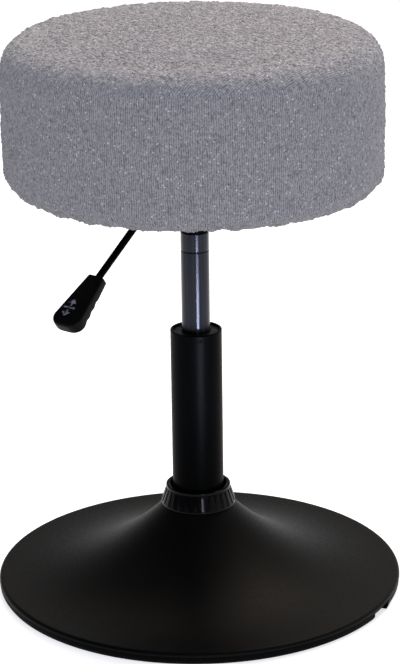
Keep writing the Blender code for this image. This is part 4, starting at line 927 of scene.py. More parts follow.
# %% Bend the lever rod
lever_hinge = next(j for j in frame["joints"] if j["name"] == "lever_lift")
hinge_place = Vector(lever_hinge["pos_m"])
SEAT_TURN = Matrix.Rotation(math.atan2(hinge_place.y, hinge_place.x), 4, "Z")
LEVER_PIVOT = hinge_place.xy.length / MM
PIVOT_HEIGHT = hinge_place.z / MM
LEVER_HEIGHT = 412.0
LEVER_START = -9.0              # the rod begins a little past the button
LEVER_RADIUS = 3.5
ROD_SIDES = 24
LEVER_SLOPE = math.radians(34.7)
LEVER_BEND = 61.7
BEND_RADIUS = 10.0
BEND_STEPS = 12
SHANK = 99.0                    # from the bend to the handle
IN_HANDLE = 30.0
down_slope = Vector((math.cos(LEVER_SLOPE), 0.0, -math.sin(LEVER_SLOPE)))
bend = Vector((LEVER_BEND, 0.0, LEVER_HEIGHT))
lead = BEND_RADIUS * math.tan(LEVER_SLOPE / 2)
route = [Vector((LEVER_START, 0.0, LEVER_HEIGHT)), Vector((20.0, 0.0, LEVER_HEIGHT))]
for k in range(BEND_STEPS + 1):
    bearing = LEVER_SLOPE * k / BEND_STEPS
    route.append(Vector((LEVER_BEND - lead + BEND_RADIUS * math.sin(bearing), 0.0,
                         LEVER_HEIGHT - BEND_RADIUS * (1 - math.cos(bearing)))))
handle_start = bend + down_slope * SHANK
route += [bend + down_slope * 50.0, handle_start + down_slope * IN_HANDLE]
rod_section = [p.xy for p in full_circle(ROD_SIDES, LEVER_RADIUS)]
lever_bar = carried("lever_bar", route, rod_section, BLACK_PAINT, closed=False)
lever_bar.transform(SEAT_TURN)
place_piece("lever_bar", lever_bar, BLACK_PAINT, "lever", "black_powder_coat", "lever_rod")

# %% [markdown]
# ## The paddle handle
# The handle is moulded plastic: narrow at the rod, wider and thicker at its end, flat on
# top, and waved underneath for the fingers. A loft does this well. We work out a rounded
# rectangle at many stations along it, join each to the next, and close both ends. The
# neck's end face has the bore for the rod.

# %% Section of the handle
HANDLE_LENGTH = 60.5
NECK_WIDTH, WIDTH_GAIN = 19.0, 17.0     # the neck's width, and how much wider the end would be
NECK_THICK, THICK_GAIN = 10.5, 4.0
HANDLE_TOP = NECK_THICK / 2             # the flat top lies this far over the rod's line
NOSE = 12.0                             # length of the rounded end
TIP_HALF = 5.5
TIP_TUCK = 0.25                         # share of the thickness that each face comes in at the tip
GRIPS = 3
GRIP_DEPTH = 1.1
GRIP_START = 0.3                        # share of the length where the finger grips begin
HANDLE_CORNER = 3.2
CORNER_POINTS = 6
MOUTH_EASE, MOUTH_SHRINK = 1.2, 0.07    # the neck's end is a little smaller over this length


def handle_section(along):
    """Half width, top and underside at a distance from the neck."""
    share = along / HANDLE_LENGTH
    half = (NECK_WIDTH + WIDTH_GAIN * share) / 2
    thick = NECK_THICK + THICK_GAIN * share
    low = HANDLE_TOP - thick
    grip_from = GRIP_START * HANDLE_LENGTH
    grip_to = HANDLE_LENGTH - NOSE
    if grip_from < along < grip_to:
        low += GRIP_DEPTH * math.sin(math.pi * GRIPS * (along - grip_from) / (grip_to - grip_from)) ** 2
    nose = max(0.0, along - grip_to) / NOSE
    tuck = 1.0 - math.sqrt(max(0.0, 1.0 - nose * nose))
    inset = tuck * TIP_TUCK * thick
    return half - tuck * (half - TIP_HALF), HANDLE_TOP - inset, low + inset


def handle_loop(shape, along):
    """Vertices of the rounded rectangle at a distance from the neck."""
    half, top, low = handle_section(along)
    edge = min(HANDLE_CORNER, 0.48 * (top - low))
    ease_in = min(1.0, 0.25 + along / MOUTH_EASE)
    shrink = 1.0 - MOUTH_SHRINK * (1.0 - ease_in)
    loop = []
    for side, heading, start in ((1, 1, 0), (-1, 1, 1), (-1, -1, 2), (1, -1, 3)):
        level = top if heading > 0 else low
        for k in range(CORNER_POINTS):
            bearing = math.pi / 2 * (start + k / (CORNER_POINTS - 1))
            y = side * (half - edge) + edge * math.cos(bearing)
            z = level - heading * edge + edge * math.sin(bearing)
            loop.append(shape.verts.new((along * MM, y * shrink * MM, z * shrink * MM)))
    return loop


print("half width, top and underside of the handle's neck:", handle_section(0.0))

# %% Loft the handle
NOSE_STEPS = 14
MOUTH = ((0.0, 4.3), (0.5, 3.9), (IN_HANDLE + 0.3, 3.8))    # depth and radius down the bore
HANDLE_FRAME = SEAT_TURN @ Matrix.Translation(handle_start * MM) @ Matrix.Rotation(LEVER_SLOPE, 4, "Y")
stations = [0.0, 0.4, 0.9, 1.6] + [3.0 + 1.0 * k for k in range(46)]
for k in range(1, NOSE_STEPS + 1):
    stations.append(HANDLE_LENGTH - NOSE * (1.0 - math.sin(math.pi / 2 * k / NOSE_STEPS)))
shape = bmesh.new()
loops = [handle_loop(shape, along) for along in sorted(stations)]
join_loops(shape, loops)
shape.faces.new(loops[-1])
bore = [loops[0]]
for depth, radius in MOUTH:
    ring = []
    for vert in loops[0]:
        bearing = math.atan2(vert.co.z, vert.co.y)
        across, up = radius * MM * math.cos(bearing), radius * MM * math.sin(bearing)
        ring.append(shape.verts.new((depth * MM, across, up)))
    bore.append(ring)
join_loops(shape, bore)
shape.faces.new(bore[-1])
bmesh.ops.transform(shape, matrix=HANDLE_FRAME, verts=shape.verts)
handle_mesh = finish_mesh(shape, "paddle_handle", sharp=50.0)
place_piece("paddle_handle", handle_mesh, GRIP_ABS, "lever", "black_plastic", "lever_handle")

# %% [markdown]
# ## The print on the handle
# A pale print on the handle's top tells the sitter that the lever raises and lowers the
# seat. Ours is plain: an arrow each way with a bar between them. It is ink a tenth of a
# millimetre thick, and thumbs have rubbed most of it off, so the material lets the black
# plastic show wherever a noise is low.

# %% Worn arrows on the handle
RUBBED = 3.2                    # millimetres across a rubbed patch
PRINT_ALONG, PRINT_ACROSS = 41.0, -3.5      # the print's middle, in millimetres on the handle
PRINT_RISE = 0.1


def worn_ink():
    """Pale ink, gone wherever the noise is low."""
    material, tree, shader = new_finish("worn_pale_print", Roughness=0.55, Specular_IOR_Level=0.15)
    place = add(tree, "ShaderNodeTexCoord").outputs["Object"]
    rubbed = add(tree, "ShaderNodeTexNoise", {"Vector": place, "Scale": per_metre(RUBBED), "Detail": 3.0})
    tint = add(tree, "ShaderNodeValToRGB", {"Fac": rubbed.outputs["Fac"]},
               ((0.38, "0b0b0d"), (0.56, "8d90a3")))
    wire(tree, shader, {"Base Color": tint.outputs["Color"]})
    return material


WORN_INK = worn_ink()
arrow = [(2.2, -1.4), (5.4, -1.4), (5.4, -4.8), (10.4, 0.0), (5.4, 4.8), (5.4, 1.4), (2.2, 1.4)]
bar = [(-0.9, -7.0), (0.9, -7.0), (0.9, 7.0), (-0.9, 7.0)]
shape = bmesh.new()
for outline in (arrow, [(-x, y) for x, y in arrow[::-1]], bar):
    loops = []
    for height in (HANDLE_TOP - PRINT_RISE, HANDLE_TOP + PRINT_RISE):
        loops.append([shape.verts.new(((PRINT_ALONG + x) * MM, (PRINT_ACROSS + y) * MM, height * MM))
                      for x, y in outline])
    shape.faces.new(loops[0][::-1])
    shape.faces.new(loops[1])
    join_loops(shape, loops)
bmesh.ops.transform(shape, matrix=HANDLE_FRAME, verts=shape.verts)
place_piece("handle_print", finish_mesh(shape, "handle_print"), WORN_INK, "lever", "black_plastic")

# %% [markdown]
# ## Cross pin and sleeve
# The lever rocks on a pin through the bracket's two walls. The sleeve under the rod is
# plain tube. Both lie across the lever, so the spun shape is laid on its side and turned
# to the lever's bearing in one matrix.

# %% Turn the pin and the sleeve
PIN_HALF, PIN_RADIUS = 33.4, 3.0
CLIP_OUTER, CLIP_INNER, CLIP_RADIUS = 31.5, 30.15, 2.3      # the groove for a clip at each end
SLEEVE_HALF, SLEEVE_RADIUS, SLEEVE_BORE = 27.2, 5.0, 3.3
CROSS_STEPS = 48
lying = (SEAT_TURN @ Matrix.Translation((LEVER_PIVOT * MM, 0.0, PIVOT_HEIGHT * MM))
         @ Matrix.Rotation(math.pi / 2, 4, "X"))
pin = [(0.0, PIN_HALF, 0.0), (PIN_RADIUS, PIN_HALF, 0.6), (PIN_RADIUS, CLIP_OUTER, 0.0),
       (CLIP_RADIUS, CLIP_OUTER, 0.0), (CLIP_RADIUS, CLIP_INNER, 0.0), (PIN_RADIUS, CLIP_INNER, 0.0)]
pin = eased(pin + [(r, -z, e) for r, z, e in pin[::-1]], closed=False)
pin_mesh = spun("cross_pin", pin, CROSS_STEPS, closed=False, axis=lying)
place_piece("cross_pin", pin_mesh, ZINC, "seat", "zinc_steel", "pivot_pin")
sleeve = eased([(SLEEVE_RADIUS, SLEEVE_HALF, 0.4), (SLEEVE_RADIUS, -SLEEVE_HALF, 0.4),
                (SLEEVE_BORE, -SLEEVE_HALF, 0.3), (SLEEVE_BORE, SLEEVE_HALF, 0.3)])
sleeve_mesh = spun("rocker_sleeve", sleeve, CROSS_STEPS, axis=lying)
place_piece("rocker_sleeve", sleeve_mesh, BLACK_PAINT, "lever", "black_powder_coat", "lever_sleeve")

# %% [markdown]
# ## The shape of the seat
# The seat is a drum of foam pulled into cloth: a slightly crowned top, a soft upper edge,
# sides that bulge a little, a tighter lower edge and a hem under the board. We write its
# outline once as points of radius and height, from the middle of the top round to the
# hem, with the length along it. Everything soft is measured along that line.

# %% Outline of the seat
seat_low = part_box("cover_band")[0].z / MM
top_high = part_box("cover_top")[1].z / MM
SEAT_RADIUS = 182.7
CROWN = 2.4
EDGE_HIGH = top_high - CROWN
TOP_ROUND = 28.0
LOW_ROUND = 21.0
SWELL = 1.2
HEM_HEIGHT = 422.5
HEM_OUTER, HEM_INNER = 149.7, 131.7
TOP_STEPS, EDGE_STEPS, SIDE_STEPS = 60, 40, 40
LOW_STEPS, UNDER_STEPS, HEM_STEPS = 30, 10, 6


def seat_outline():
    """Points of radius and height from the middle of the top round to the hem's edge."""
    flat = SEAT_RADIUS - TOP_ROUND
    points = []
    for k in range(TOP_STEPS):
        points.append((flat * k / TOP_STEPS, EDGE_HIGH + CROWN * (1 - (k / TOP_STEPS) ** 2)))
    for k in range(EDGE_STEPS + 1):
        bearing = math.pi / 2 * k / EDGE_STEPS
        points.append((flat + TOP_ROUND * math.sin(bearing),
                       EDGE_HIGH - TOP_ROUND * (1 - math.cos(bearing))))
    side_high, side_low = EDGE_HIGH - TOP_ROUND, seat_low + LOW_ROUND
    for k in range(1, SIDE_STEPS):
        points.append((SEAT_RADIUS + SWELL * math.sin(math.pi * k / SIDE_STEPS),
                       side_high + (side_low - side_high) * k / SIDE_STEPS))
    for k in range(LOW_STEPS + 1):
        bearing = math.pi / 2 * k / LOW_STEPS
        points.append((SEAT_RADIUS - LOW_ROUND * (1 - math.cos(bearing)),
                       side_low - LOW_ROUND * math.sin(bearing)))
    start = SEAT_RADIUS - LOW_ROUND
    for k in range(1, UNDER_STEPS + 1):
        share = k / UNDER_STEPS
        lift = share * share * (3 - 2 * share)
        points.append((start + (HEM_OUTER - start) * share, seat_low + (HEM_HEIGHT - seat_low) * lift))
    for k in range(1, HEM_STEPS + 1):
        points.append((HEM_OUTER + (HEM_INNER - HEM_OUTER) * k / HEM_STEPS, HEM_HEIGHT))
    return np.array(points)


OUTLINE = seat_outline()
print("the seat's outline has", len(OUTLINE), "points")

# %% Lengths along the outline
SEAM_BEARING = math.radians(64.0)       # where the seam lies on the rounded upper edge
HEM_RUN = 46.0                          # from the seat's lowest part to the hem's inner edge
TURN_REACH = 0.8                        # a normal is measured over this far either way
OUTLINE_LENGTH = np.concatenate([[0.0], np.cumsum(np.linalg.norm(np.diff(OUTLINE, axis=0), axis=1))])
top_count = TOP_STEPS + EDGE_STEPS
TO_SEAM = float(np.interp(SEAT_RADIUS - TOP_ROUND + TOP_ROUND * math.sin(SEAM_BEARING),
                          OUTLINE[:top_count, 0], OUTLINE_LENGTH[:top_count]))
TO_HEM = float(OUTLINE_LENGTH[-1])
LOW_EDGE = TO_HEM - HEM_RUN


def outline_at(length):
    """Radius and height at lengths along the outline, in millimetres."""
    return np.stack([np.interp(length, OUTLINE_LENGTH, OUTLINE[:, i]) for i in (0, 1)], axis=-1)


def on_outline(length):
    """Points and outward normals at lengths along the outline, in millimetres."""
    length = np.asarray(length, float)
    along = outline_at(length + TURN_REACH) - outline_at(length - TURN_REACH)
    along /= np.linalg.norm(along, axis=-1, keepdims=True)
    return outline_at(length), np.stack([-along[..., 1], along[..., 0]], axis=-1)


print("from the middle to the seam", round(TO_SEAM, 1), "mm, to the hem's edge", round(TO_HEM, 1), "mm")

# %% [markdown]
# ## Filling the cloth
# Foam presses the cloth out between the places where it is held: the seam and the staples.
# Blender's cloth solver can do the same to a closed skin. We spin a skin a little smaller
# than the finished seat, remesh it evenly, hold the seam and the hem, turn gravity off and
# let pressure blow it up for twenty frames. No point may go further than a few millimetres.
# The result is smoothed and becomes the form that the cloth pieces are laid on.

# %% Helpers for blowing up a skin
SKIN_INSET = 1.2            # millimetres that the skin starts inside the outline
SKIN_ROWS, SKIN_STEPS = 90, 96
VOXEL = 5.0 * MM
SEAM_HOLD = 5.5             # the skin is held this near to the seam, in millimetres
HEM_HOLD = 3.5              # and this high over the hem
PRESSURE = 4.0
SOLVER_STEPS = 6
FRAMES = 20


def seat_skin():
    """A closed skin, a little inside the seat's outline."""
    spot, normal = on_outline(np.linspace(0.0, TO_HEM, SKIN_ROWS))
    points = [Vector(p) for p in spot - SKIN_INSET * normal]
    points[0].x = 0.0
    points.append(Vector((0.0, points[-1].y)))
    return spun("seat_skin", points, SKIN_STEPS, closed=False)


def evenly_meshed(mesh):
    """The same skin in faces of one size."""
    holder = stand_in(mesh)
    remesh = holder.modifiers.new("even", "REMESH")
    remesh.mode = "VOXEL"
    remesh.voxel_size = VOXEL
    return made_plain(holder)


def hold(holder):
    """Hold the skin at the seam and under the board."""
    seam_radius, seam_height = on_outline([TO_SEAM])[0][0]
    held = holder.vertex_groups.new(name="held")
    for vert in holder.data.vertices:
        radius, height = math.hypot(vert.co.x, vert.co.y) / MM, vert.co.z / MM
        at_seam = math.hypot(radius - seam_radius, height - seam_height) < SEAM_HOLD
        at_hem = height < HEM_HEIGHT + HEM_HOLD and radius < HEM_OUTER
        if at_seam or at_hem:
            held.add([vert.index], 1.0, "REPLACE")
    return held.name


def blow_up(mesh):
    """Let pressure fill a skin that is held at the seam and the hem."""
    holder = stand_in(mesh)
    cloth = holder.modifiers.new("cloth", "CLOTH")
    cloth.settings.quality = SOLVER_STEPS
    cloth.settings.use_pressure = True
    cloth.settings.uniform_pressure_force = PRESSURE
    cloth.settings.effector_weights.gravity = 0.0
    cloth.settings.vertex_group_mass = hold(holder)
    cloth.point_cache.frame_start = 1
    cloth.point_cache.frame_end = FRAMES
    for step in range(1, FRAMES + 1):
        scene.frame_set(step)
    filled = made_plain(holder)
    scene.frame_set(1)
    return filled


print("the skin starts", SKIN_INSET, "mm inside the outline, in faces of", VOXEL / MM, "mm")

# %% Blow up the seat's skin
SKIN_CAP = 4.0              # the furthest that a point of it may go, in millimetres
skin = evenly_meshed(seat_skin())
before = np.array([v.co for v in skin.vertices])
blown = blow_up(skin.copy())
step_out = np.array([v.co for v in blown.vertices]) - before
moved = np.linalg.norm(step_out, axis=1) / MM
step_out *= (np.minimum(moved, SKIN_CAP) / np.maximum(moved, 0.001))[:, None]
blown.vertices.foreach_set("co", (before + step_out).ravel())
blown.update()
print("skin of", len(before), "points moved", round(float(moved.mean()), 2), "mm on average, at most",
      round(float(moved.max()), 2), "mm, held to", SKIN_CAP)

# %% Smooth it
SOFTENING = 6               # rounds of smoothing
holder = stand_in(blown.copy())
holder.modifiers.new("soften", "SMOOTH").iterations = SOFTENING
rounder = holder.modifiers.new("rounder", "SUBSURF")
rounder.levels = 1
rounder.render_levels = 1
round_skin = made_plain(holder)
SKIN_TREE = BVHTree.FromPolygons([v.co[:] for v in round_skin.vertices],
                                 [p.vertices[:] for p in round_skin.polygons])
print("skin to lay the cloth on has", len(round_skin.polygons), "faces")

# %% [markdown]
# ## Laying the cloth
# The cloth needs a finer and tidier mesh than the blown skin: even rings that follow the
# seam, with room for the nubs. For each point of that mesh we look along the seat's own
# normal for the blown skin and move the point there, by a few millimetres at most. Then
# come the seam's valley, the puckers beside it, and the small lumps of the knit.

# %% Helpers for the cloth's surface
FULLEST = 2.5           # the most that the blown skin may move the cloth out, in millimetres
LOOK_REACH = 14.0 * MM  # how far either side of the outline the skin is looked for
TOP_SHARE, SIDE_SHARE = 1.0, 0.85       # how much of the knit's fine lumps shows on each piece
ROLLED = 15.0           # the top's last stretch before the seam already counts as a side
SETTLING = 2.5          # millimetres that the foam has sagged at its lower edge
SETTLED_SIDE = math.radians(-10.0)
PUCKERS = 22.0          # about this many puckers for each radian along the seam


def swelling(place, normal):
    """How far out the blown skin lies from a point on the seat's outline, in millimetres."""
    hit = SKIN_TREE.ray_cast(Vector(place) + Vector(normal) * LOOK_REACH, -Vector(normal), 2 * LOOK_REACH)
    if hit[0] is None:
        return 0.0
    return max(0.0, min(FULLEST, (LOOK_REACH - hit[3]) / MM))


def bumps(spot, height, width):
    """Height at a spot of bumps about this high and this wide, in millimetres."""
    return height * noise.noise(spot * per_metre(width))


def near(length, place, reach):
    """One at a place along the outline, fading to nothing about twice its reach away."""
    return math.exp(-((length - place) / reach) ** 2)


def lumps(place, length, bearing):
    """Height of the knit's lumps, the seam's valley and its puckers, in millimetres."""
    spot = Vector(place)
    share = TOP_SHARE if length < TO_SEAM - ROLLED else SIDE_SHARE
    fine = share * (bumps(spot, 0.7, 3.6) + bumps(spot, 1.0, 7.0))
    broad = bumps(spot, 0.5, 55.0)
    low_edge = near(length, LOW_EDGE, 22.0)
    slack = low_edge * (bumps(spot, 2.2, 15.0) + bumps(spot, 0.7, 6.0))
    settled = SETTLING * low_edge * max(0.0, math.cos(bearing - SETTLED_SIDE))
    valley = -0.2 * near(length, TO_SEAM, 2.2)
    pucker = 0.4 * noise.noise(at_bearing(1.0, bearing, 0.2) * PUCKERS) * near(length, TO_SEAM, 9.0)
    return fine + broad + slack + settled + valley + pucker


def cloth_points(lengths, bearings):
    """Points of the cloth's face at lengths along the outline and bearings round the seat."""
    spot, normal = on_outline(lengths)
    made = np.zeros((len(lengths), 3))
    for i, (length, bearing) in enumerate(zip(lengths, bearings)):
        c, s = math.cos(bearing), math.sin(bearing)
        place = np.array([spot[i, 0] * c, spot[i, 0] * s, spot[i, 1]]) * MM
        out = np.array([normal[i, 0] * c, normal[i, 0] * s, normal[i, 1]])
        rise = swelling(place, out) + lumps(place, length, bearing)
        made[i] = place + out * rise * MM
    return made


print("the blown skin may move the cloth out by", FULLEST, "mm")

# %% [markdown]
# ## The top panel
# The top is one round of cloth that rolls over the edge and ends at the seam. A fan of
# triangles would crowd its middle, so the rings grow outwards by eight points each, like
# the squares of a target bent into circles. The knit runs straight across the panel at an
# angle to the front, so the UV map is the panel laid flat and turned by that angle. Rings
# of lining behind the face give the cloth its thickness.

# %% Rings of the top panel
PANEL_RINGS = 95
ROUND_POINTS = 8 * PANEL_RINGS
KNIT_TURN = math.radians(50.0)      # of the top's wales from the front edge


def square_rings():
    """Ring number and bearing of each point of the panel, and its faces."""
    count = 2 * PANEL_RINGS + 1
    steps = np.arange(count) - PANEL_RINGS
    x, y = np.meshgrid(steps, steps, indexing="ij")
    ring = np.maximum(abs(x), abs(y))
    flat_side = abs(x) >= abs(y)
    safe = np.where(ring == 0, 1, ring)
    turn_x = np.where(x > 0, y / safe * math.pi / 4, math.pi - y / safe * math.pi / 4)
    turn_y = np.where(y > 0, math.pi / 2 - x / safe * math.pi / 4, -math.pi / 2 + x / safe * math.pi / 4)
    bearing = np.where(flat_side, turn_x, turn_y)
    index = np.arange(count * count).reshape(count, count)
    faces = np.stack([index[:-1, :-1], index[1:, :-1], index[1:, 1:], index[:-1, 1:]], axis=-1)
    return ring.ravel(), bearing.ravel(), faces.reshape(-1, 4)


rings, ring_bearings, panel_faces = square_rings()
panel_lengths = rings / PANEL_RINGS * TO_SEAM
panel_points = cloth_points(panel_lengths, ring_bearings)
knit_bearings = ring_bearings - KNIT_TURN - math.pi / 2
panel_uv = np.stack([panel_lengths * np.cos(knit_bearings), panel_lengths * np.sin(knit_bearings)],
                    axis=1) * MM
rim_index = np.flatnonzero(rings == PANEL_RINGS)
rim_index = rim_index[np.argsort(ring_bearings[rim_index])]
print("the panel's face has", len(panel_points), "points in", PANEL_RINGS, "rings")

# %% Helpers that give cloth a back
COVER_THICK = 2.6
CLOTH_SHARP = 70.0      # degrees


def lining_rings(lengths, bearings):
    """Rings of points behind the cloth, at lengths along the outline."""
    spot, normal = on_outline(lengths)
    c, s = np.cos(bearings), np.sin(bearings)
    return [np.stack([radius * c, radius * s, np.full(len(c), height)], axis=1) * MM
            for radius, height in spot - COVER_THICK * normal]


def with_lining(points, faces, uv, borders, linings):
    """Add rings of lining behind the cloth so that it has thickness; borders are loops of indices."""
    points, faces, uv = list(map(tuple, points)), list(map(tuple, faces)), list(map(tuple, uv))
    start = list(borders[0])
    for ring in linings:
        loop = list(range(len(points), len(points) + len(ring)))
        points += list(map(tuple, ring))
        uv += [uv[i] for i in borders[0]]
        faces += between(start, loop)
        start = loop
    if len(borders) == 1:
        faces.append(tuple(start))
    else:
        faces += between(start, list(borders[1]))
    return points, faces, uv


def cloth_mesh(name, points, faces, uv, brushed):
    """A mesh with the map named cloth and, on its face, how strong the curls and their painted shade are."""
    mesh = bpy.data.meshes.new(name)
    mesh.from_pydata(points, [], faces)
    layer = mesh.uv_layers.new(name="cloth")
    corners = np.zeros(len(mesh.loops), int)
    mesh.loops.foreach_get("vertex_index", corners)
    layer.data.foreach_set("uv", np.array(uv)[corners].ravel())
    # This attribute sets how strong the curls and their painted shade are at each point.
    curl_shade_layer = mesh.attributes.new("brushed", "FLOAT", "POINT")
    curl_shade_layer.data.foreach_set("value", np.pad(brushed, (0, len(points) - len(brushed))))
    face_outwards(mesh)
    shade(mesh, CLOTH_SHARP)
    return mesh


print("the cloth is", COVER_THICK, "mm thick")

# %% Sew the top panel
# On the top, the curls and their painted shade are full in the middle and fade towards the edge to a least share,
# which the rest of the cloth keeps.
LEAST_CURL_SHADE = 0.2                  # how brushed up the cloth is where nobody sits
CURL_SHADE_FULL_TO, CURL_SHADE_LEAST_FROM = 105.0, 172.0   # lengths from the middle between which the brushing fades
panel_linings = lining_rings((TO_SEAM - 1.5, 160.0, 120.0, 60.0, 4.0), ring_bearings[rim_index])
panel_curl_shade = np.interp(panel_lengths, [CURL_SHADE_FULL_TO, CURL_SHADE_LEAST_FROM], [1.0, LEAST_CURL_SHADE])
panel = with_lining(panel_points, panel_faces, panel_uv, [rim_index], panel_linings)
panel_mesh = cloth_mesh("top_panel", *panel, panel_curl_shade)
top_panel = place_piece("top_panel", panel_mesh, BOUCLE, "seat", "grey_boucle", "cover_top")

# %% [markdown]
# ## The side band
# The band is a strip of the same knit, as long as the seat is round, joined to itself at
# the back. It starts at the seam, runs down the side, turns under the lower edge and ends
# in the hem that is stapled to the board. Its wales stand upright, so along the map U is
# the way round and V the way down. The join at the back gets a shallow valley of its own,
# and the curls and their painted shade are made stronger at the band's left and right.

# %% Lay out the side band
BAND_ROWS = 108
HEM_ROWS = 8                    # the last of them, on the hem
BACK_JOIN = math.pi / 2
JOIN_DEPTH, JOIN_REACH = 1.1, 1.6
WALES_ROUND = round(math.tau * SEAT_RADIUS / WALE)
band_lengths = np.concatenate([np.linspace(TO_SEAM + 0.05, TO_HEM - 24.0, BAND_ROWS - HEM_ROWS),
                               np.linspace(TO_HEM - 21.0, TO_HEM, HEM_ROWS)])
band_bearings = BACK_JOIN + math.tau * np.arange(ROUND_POINTS) / ROUND_POINTS
grid_length = np.repeat(band_lengths, ROUND_POINTS)
grid_bearing = np.tile(band_bearings, BAND_ROWS)
band_points = cloth_points(grid_length, grid_bearing)
from_join = np.minimum(grid_bearing - BACK_JOIN, math.tau + BACK_JOIN - grid_bearing) * SEAT_RADIUS
valley = 1.0 - JOIN_DEPTH * np.exp(-(from_join / JOIN_REACH) ** 2) / SEAT_RADIUS
band_points[:, :2] *= valley[:, None]
band_uv = np.stack([(grid_bearing - BACK_JOIN) / math.tau * WALES_ROUND * WALE, grid_length], axis=1) * MM
rows = np.arange(BAND_ROWS * ROUND_POINTS).reshape(BAND_ROWS, ROUND_POINTS)
ahead_rows = np.roll(rows, -1, axis=1)
band_faces = np.stack([rows[:-1], rows[1:], ahead_rows[1:], ahead_rows[:-1]], axis=-1).reshape(-1, 4)
print("the band has", BAND_ROWS, "rows and", WALES_ROUND, "wales")

# %% Wrap it round the seat
# On the band, the curls and their painted shade are made stronger at its left and right, along X.
SIDE_CURL_SHADE = 0.35             # how much more the band is brushed up at its left and right
band_linings = lining_rings((TO_HEM - 1.0, TO_HEM - 20.0, TO_HEM - 50.0, TO_HEM - 70.0, TO_HEM - 120.0,
                             TO_SEAM + 20.0, TO_SEAM + 2.0), band_bearings)
band_curl_shade = LEAST_CURL_SHADE + SIDE_CURL_SHADE * np.abs(np.cos(grid_bearing)) ** 3
band = with_lining(band_points, band_faces, band_uv, [rows[-1], rows[0]], band_linings)
band_mesh = cloth_mesh("side_band", *band, band_curl_shade)
side_band = place_piece("side_band", band_mesh, BOUCLE, "seat", "grey_boucle", "cover_band")

# %% [markdown]
# ## Foam
# The foam itself is out of sight, but the seat isn't hollow. The blown skin, drawn in to
# leave room for the cloth and cut flat where it sits on the board, is the foam's own form.

# %% Shape the foam from the blown skin
FOAM_INSET = 5.0
FOAM_CLEAR = 0.3                # millimetres between it and the board
FLAT_RADIUS = 169.0             # it is cut flat within this radius
board_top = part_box("seat_board")[1].z + FOAM_CLEAR * MM
foam = blown.copy()
normals = np.array([v.normal for v in foam.vertices])
for vert, normal in zip(foam.vertices, normals):
    vert.co -= Vector(normal) * FOAM_INSET * MM
    if vert.co.z < board_top and math.hypot(vert.co.x, vert.co.y) < FLAT_RADIUS * MM:
        vert.co.z = board_top
foam.shade_smooth()
foam_block = place_piece("foam_block", foam, FOAM, "seat", "seat_foam", "seat_foam")

# %% [markdown]
# ## Nubs
# What makes boucle look soft is that its loops stand off the surface and roughen its
# outline. One nub is a little ball of twenty faces. The node tree scatters points over
# the cloth with a fixed seed, puts a nub on each, flattens it along the cloth's normal and
# gives it a random size, so some stand proud and others only swell the surface.

# %% A tree that scatters nubs
NUB_LENGTH, NUB_HEIGHT = 1.35, 0.72     # as shares of a nub's width
TWIST_SEED = 5


def scatter_nubs():
    """Puts a flattened ball of random size and turn on each of many points of a mesh."""
    tree, given, result = new_tree("boucle_nubs", Density="NodeSocketFloat", Seed="NodeSocketInt",
                                   Smallest="NodeSocketFloat", Largest="NodeSocketFloat",
                                   Material="NodeSocketMaterial")
    points = add(tree, "GeometryNodeDistributePointsOnFaces", {"Mesh": given["Geometry"],
                                                               "Density": given["Density"],
                                                               "Seed": given["Seed"]})
    nub = add(tree, "GeometryNodeMeshIcoSphere", {"Radius": 1.0, "Subdivisions": 1})
    size = add(tree, "FunctionNodeRandomValue", {"Min": given["Smallest"], "Max": given["Largest"],
                                                 "Seed": given["Seed"]}, data_type="FLOAT")
    longer = add(tree, "ShaderNodeMath", {0: size.outputs[1], 1: NUB_LENGTH}, operation="MULTIPLY")
    flatter = add(tree, "ShaderNodeMath", {0: size.outputs[1], 1: NUB_HEIGHT}, operation="MULTIPLY")
    spread = add(tree, "ShaderNodeCombineXYZ", {"X": longer.outputs["Value"], "Y": size.outputs[1],
                                                "Z": flatter.outputs["Value"]})
    copies = add(tree, "GeometryNodeInstanceOnPoints", {"Points": points.outputs["Points"],
                                                        "Instance": nub.outputs["Mesh"],
                                                        "Rotation": points.outputs["Rotation"],
                                                        "Scale": spread.outputs["Vector"]})
    twist = add(tree, "FunctionNodeRandomValue", {"Min": 0.0, "Max": math.tau, "Seed": TWIST_SEED},
                data_type="FLOAT")
    about = add(tree, "ShaderNodeCombineXYZ", {"Z": twist.outputs[1]})
    turned = add(tree, "GeometryNodeRotateInstances", {"Instances": copies.outputs["Instances"],
                                                       "Rotation": about.outputs["Vector"]})
    end_tree(tree, result, turned.outputs["Instances"], given)
    return tree


NUBS = scatter_nubs()
print("made a tree of", len(NUBS.nodes), "nodes:", NUBS.name)

# %% Scatter the nubs
def face_only(name, points, faces):
    """The cloth's outer face alone, for points to be scattered on."""
    mesh = bpy.data.meshes.new(name)
    mesh.from_pydata([tuple(p) for p in points], [], [tuple(f) for f in faces])
    return mesh


seen_rows = band_faces[:(BAND_ROWS - HEM_ROWS - 1) * ROUND_POINTS]
top_face = face_only("top_face", panel_points, panel_faces[:, ::-1])
top_nubs = grow("top_nubs", top_face, NUBS, Density=87000.0, Seed=11, Smallest=0.6 * MM, Largest=1.5 * MM,
                Material=LOOP_YARN)
place_piece("top_nubs", top_nubs, LOOP_YARN, "seat", "grey_boucle")
band_face = face_only("band_face", band_points, seen_rows)
band_nubs = grow("band_nubs", band_face, NUBS, Density=55000.0, Seed=23, Smallest=0.55 * MM,
                 Largest=1.5 * MM, Material=LOOP_YARN)
place_piece("band_nubs", band_nubs, LOOP_YARN, "seat", "grey_boucle")

# %% [markdown]
# ## The underside
# Under the board, a black cloth is stapled over the hem. It is stretched flat in the middle
# and comes down in a step where it runs over the hem, with small ripples between the
# staples. The sheet is laid out as rings, rippled by angle, and given its thin second face.
# Of each staple only the crown shows, one small bar of wire at even steps, so the staples
# come from the node tree again.

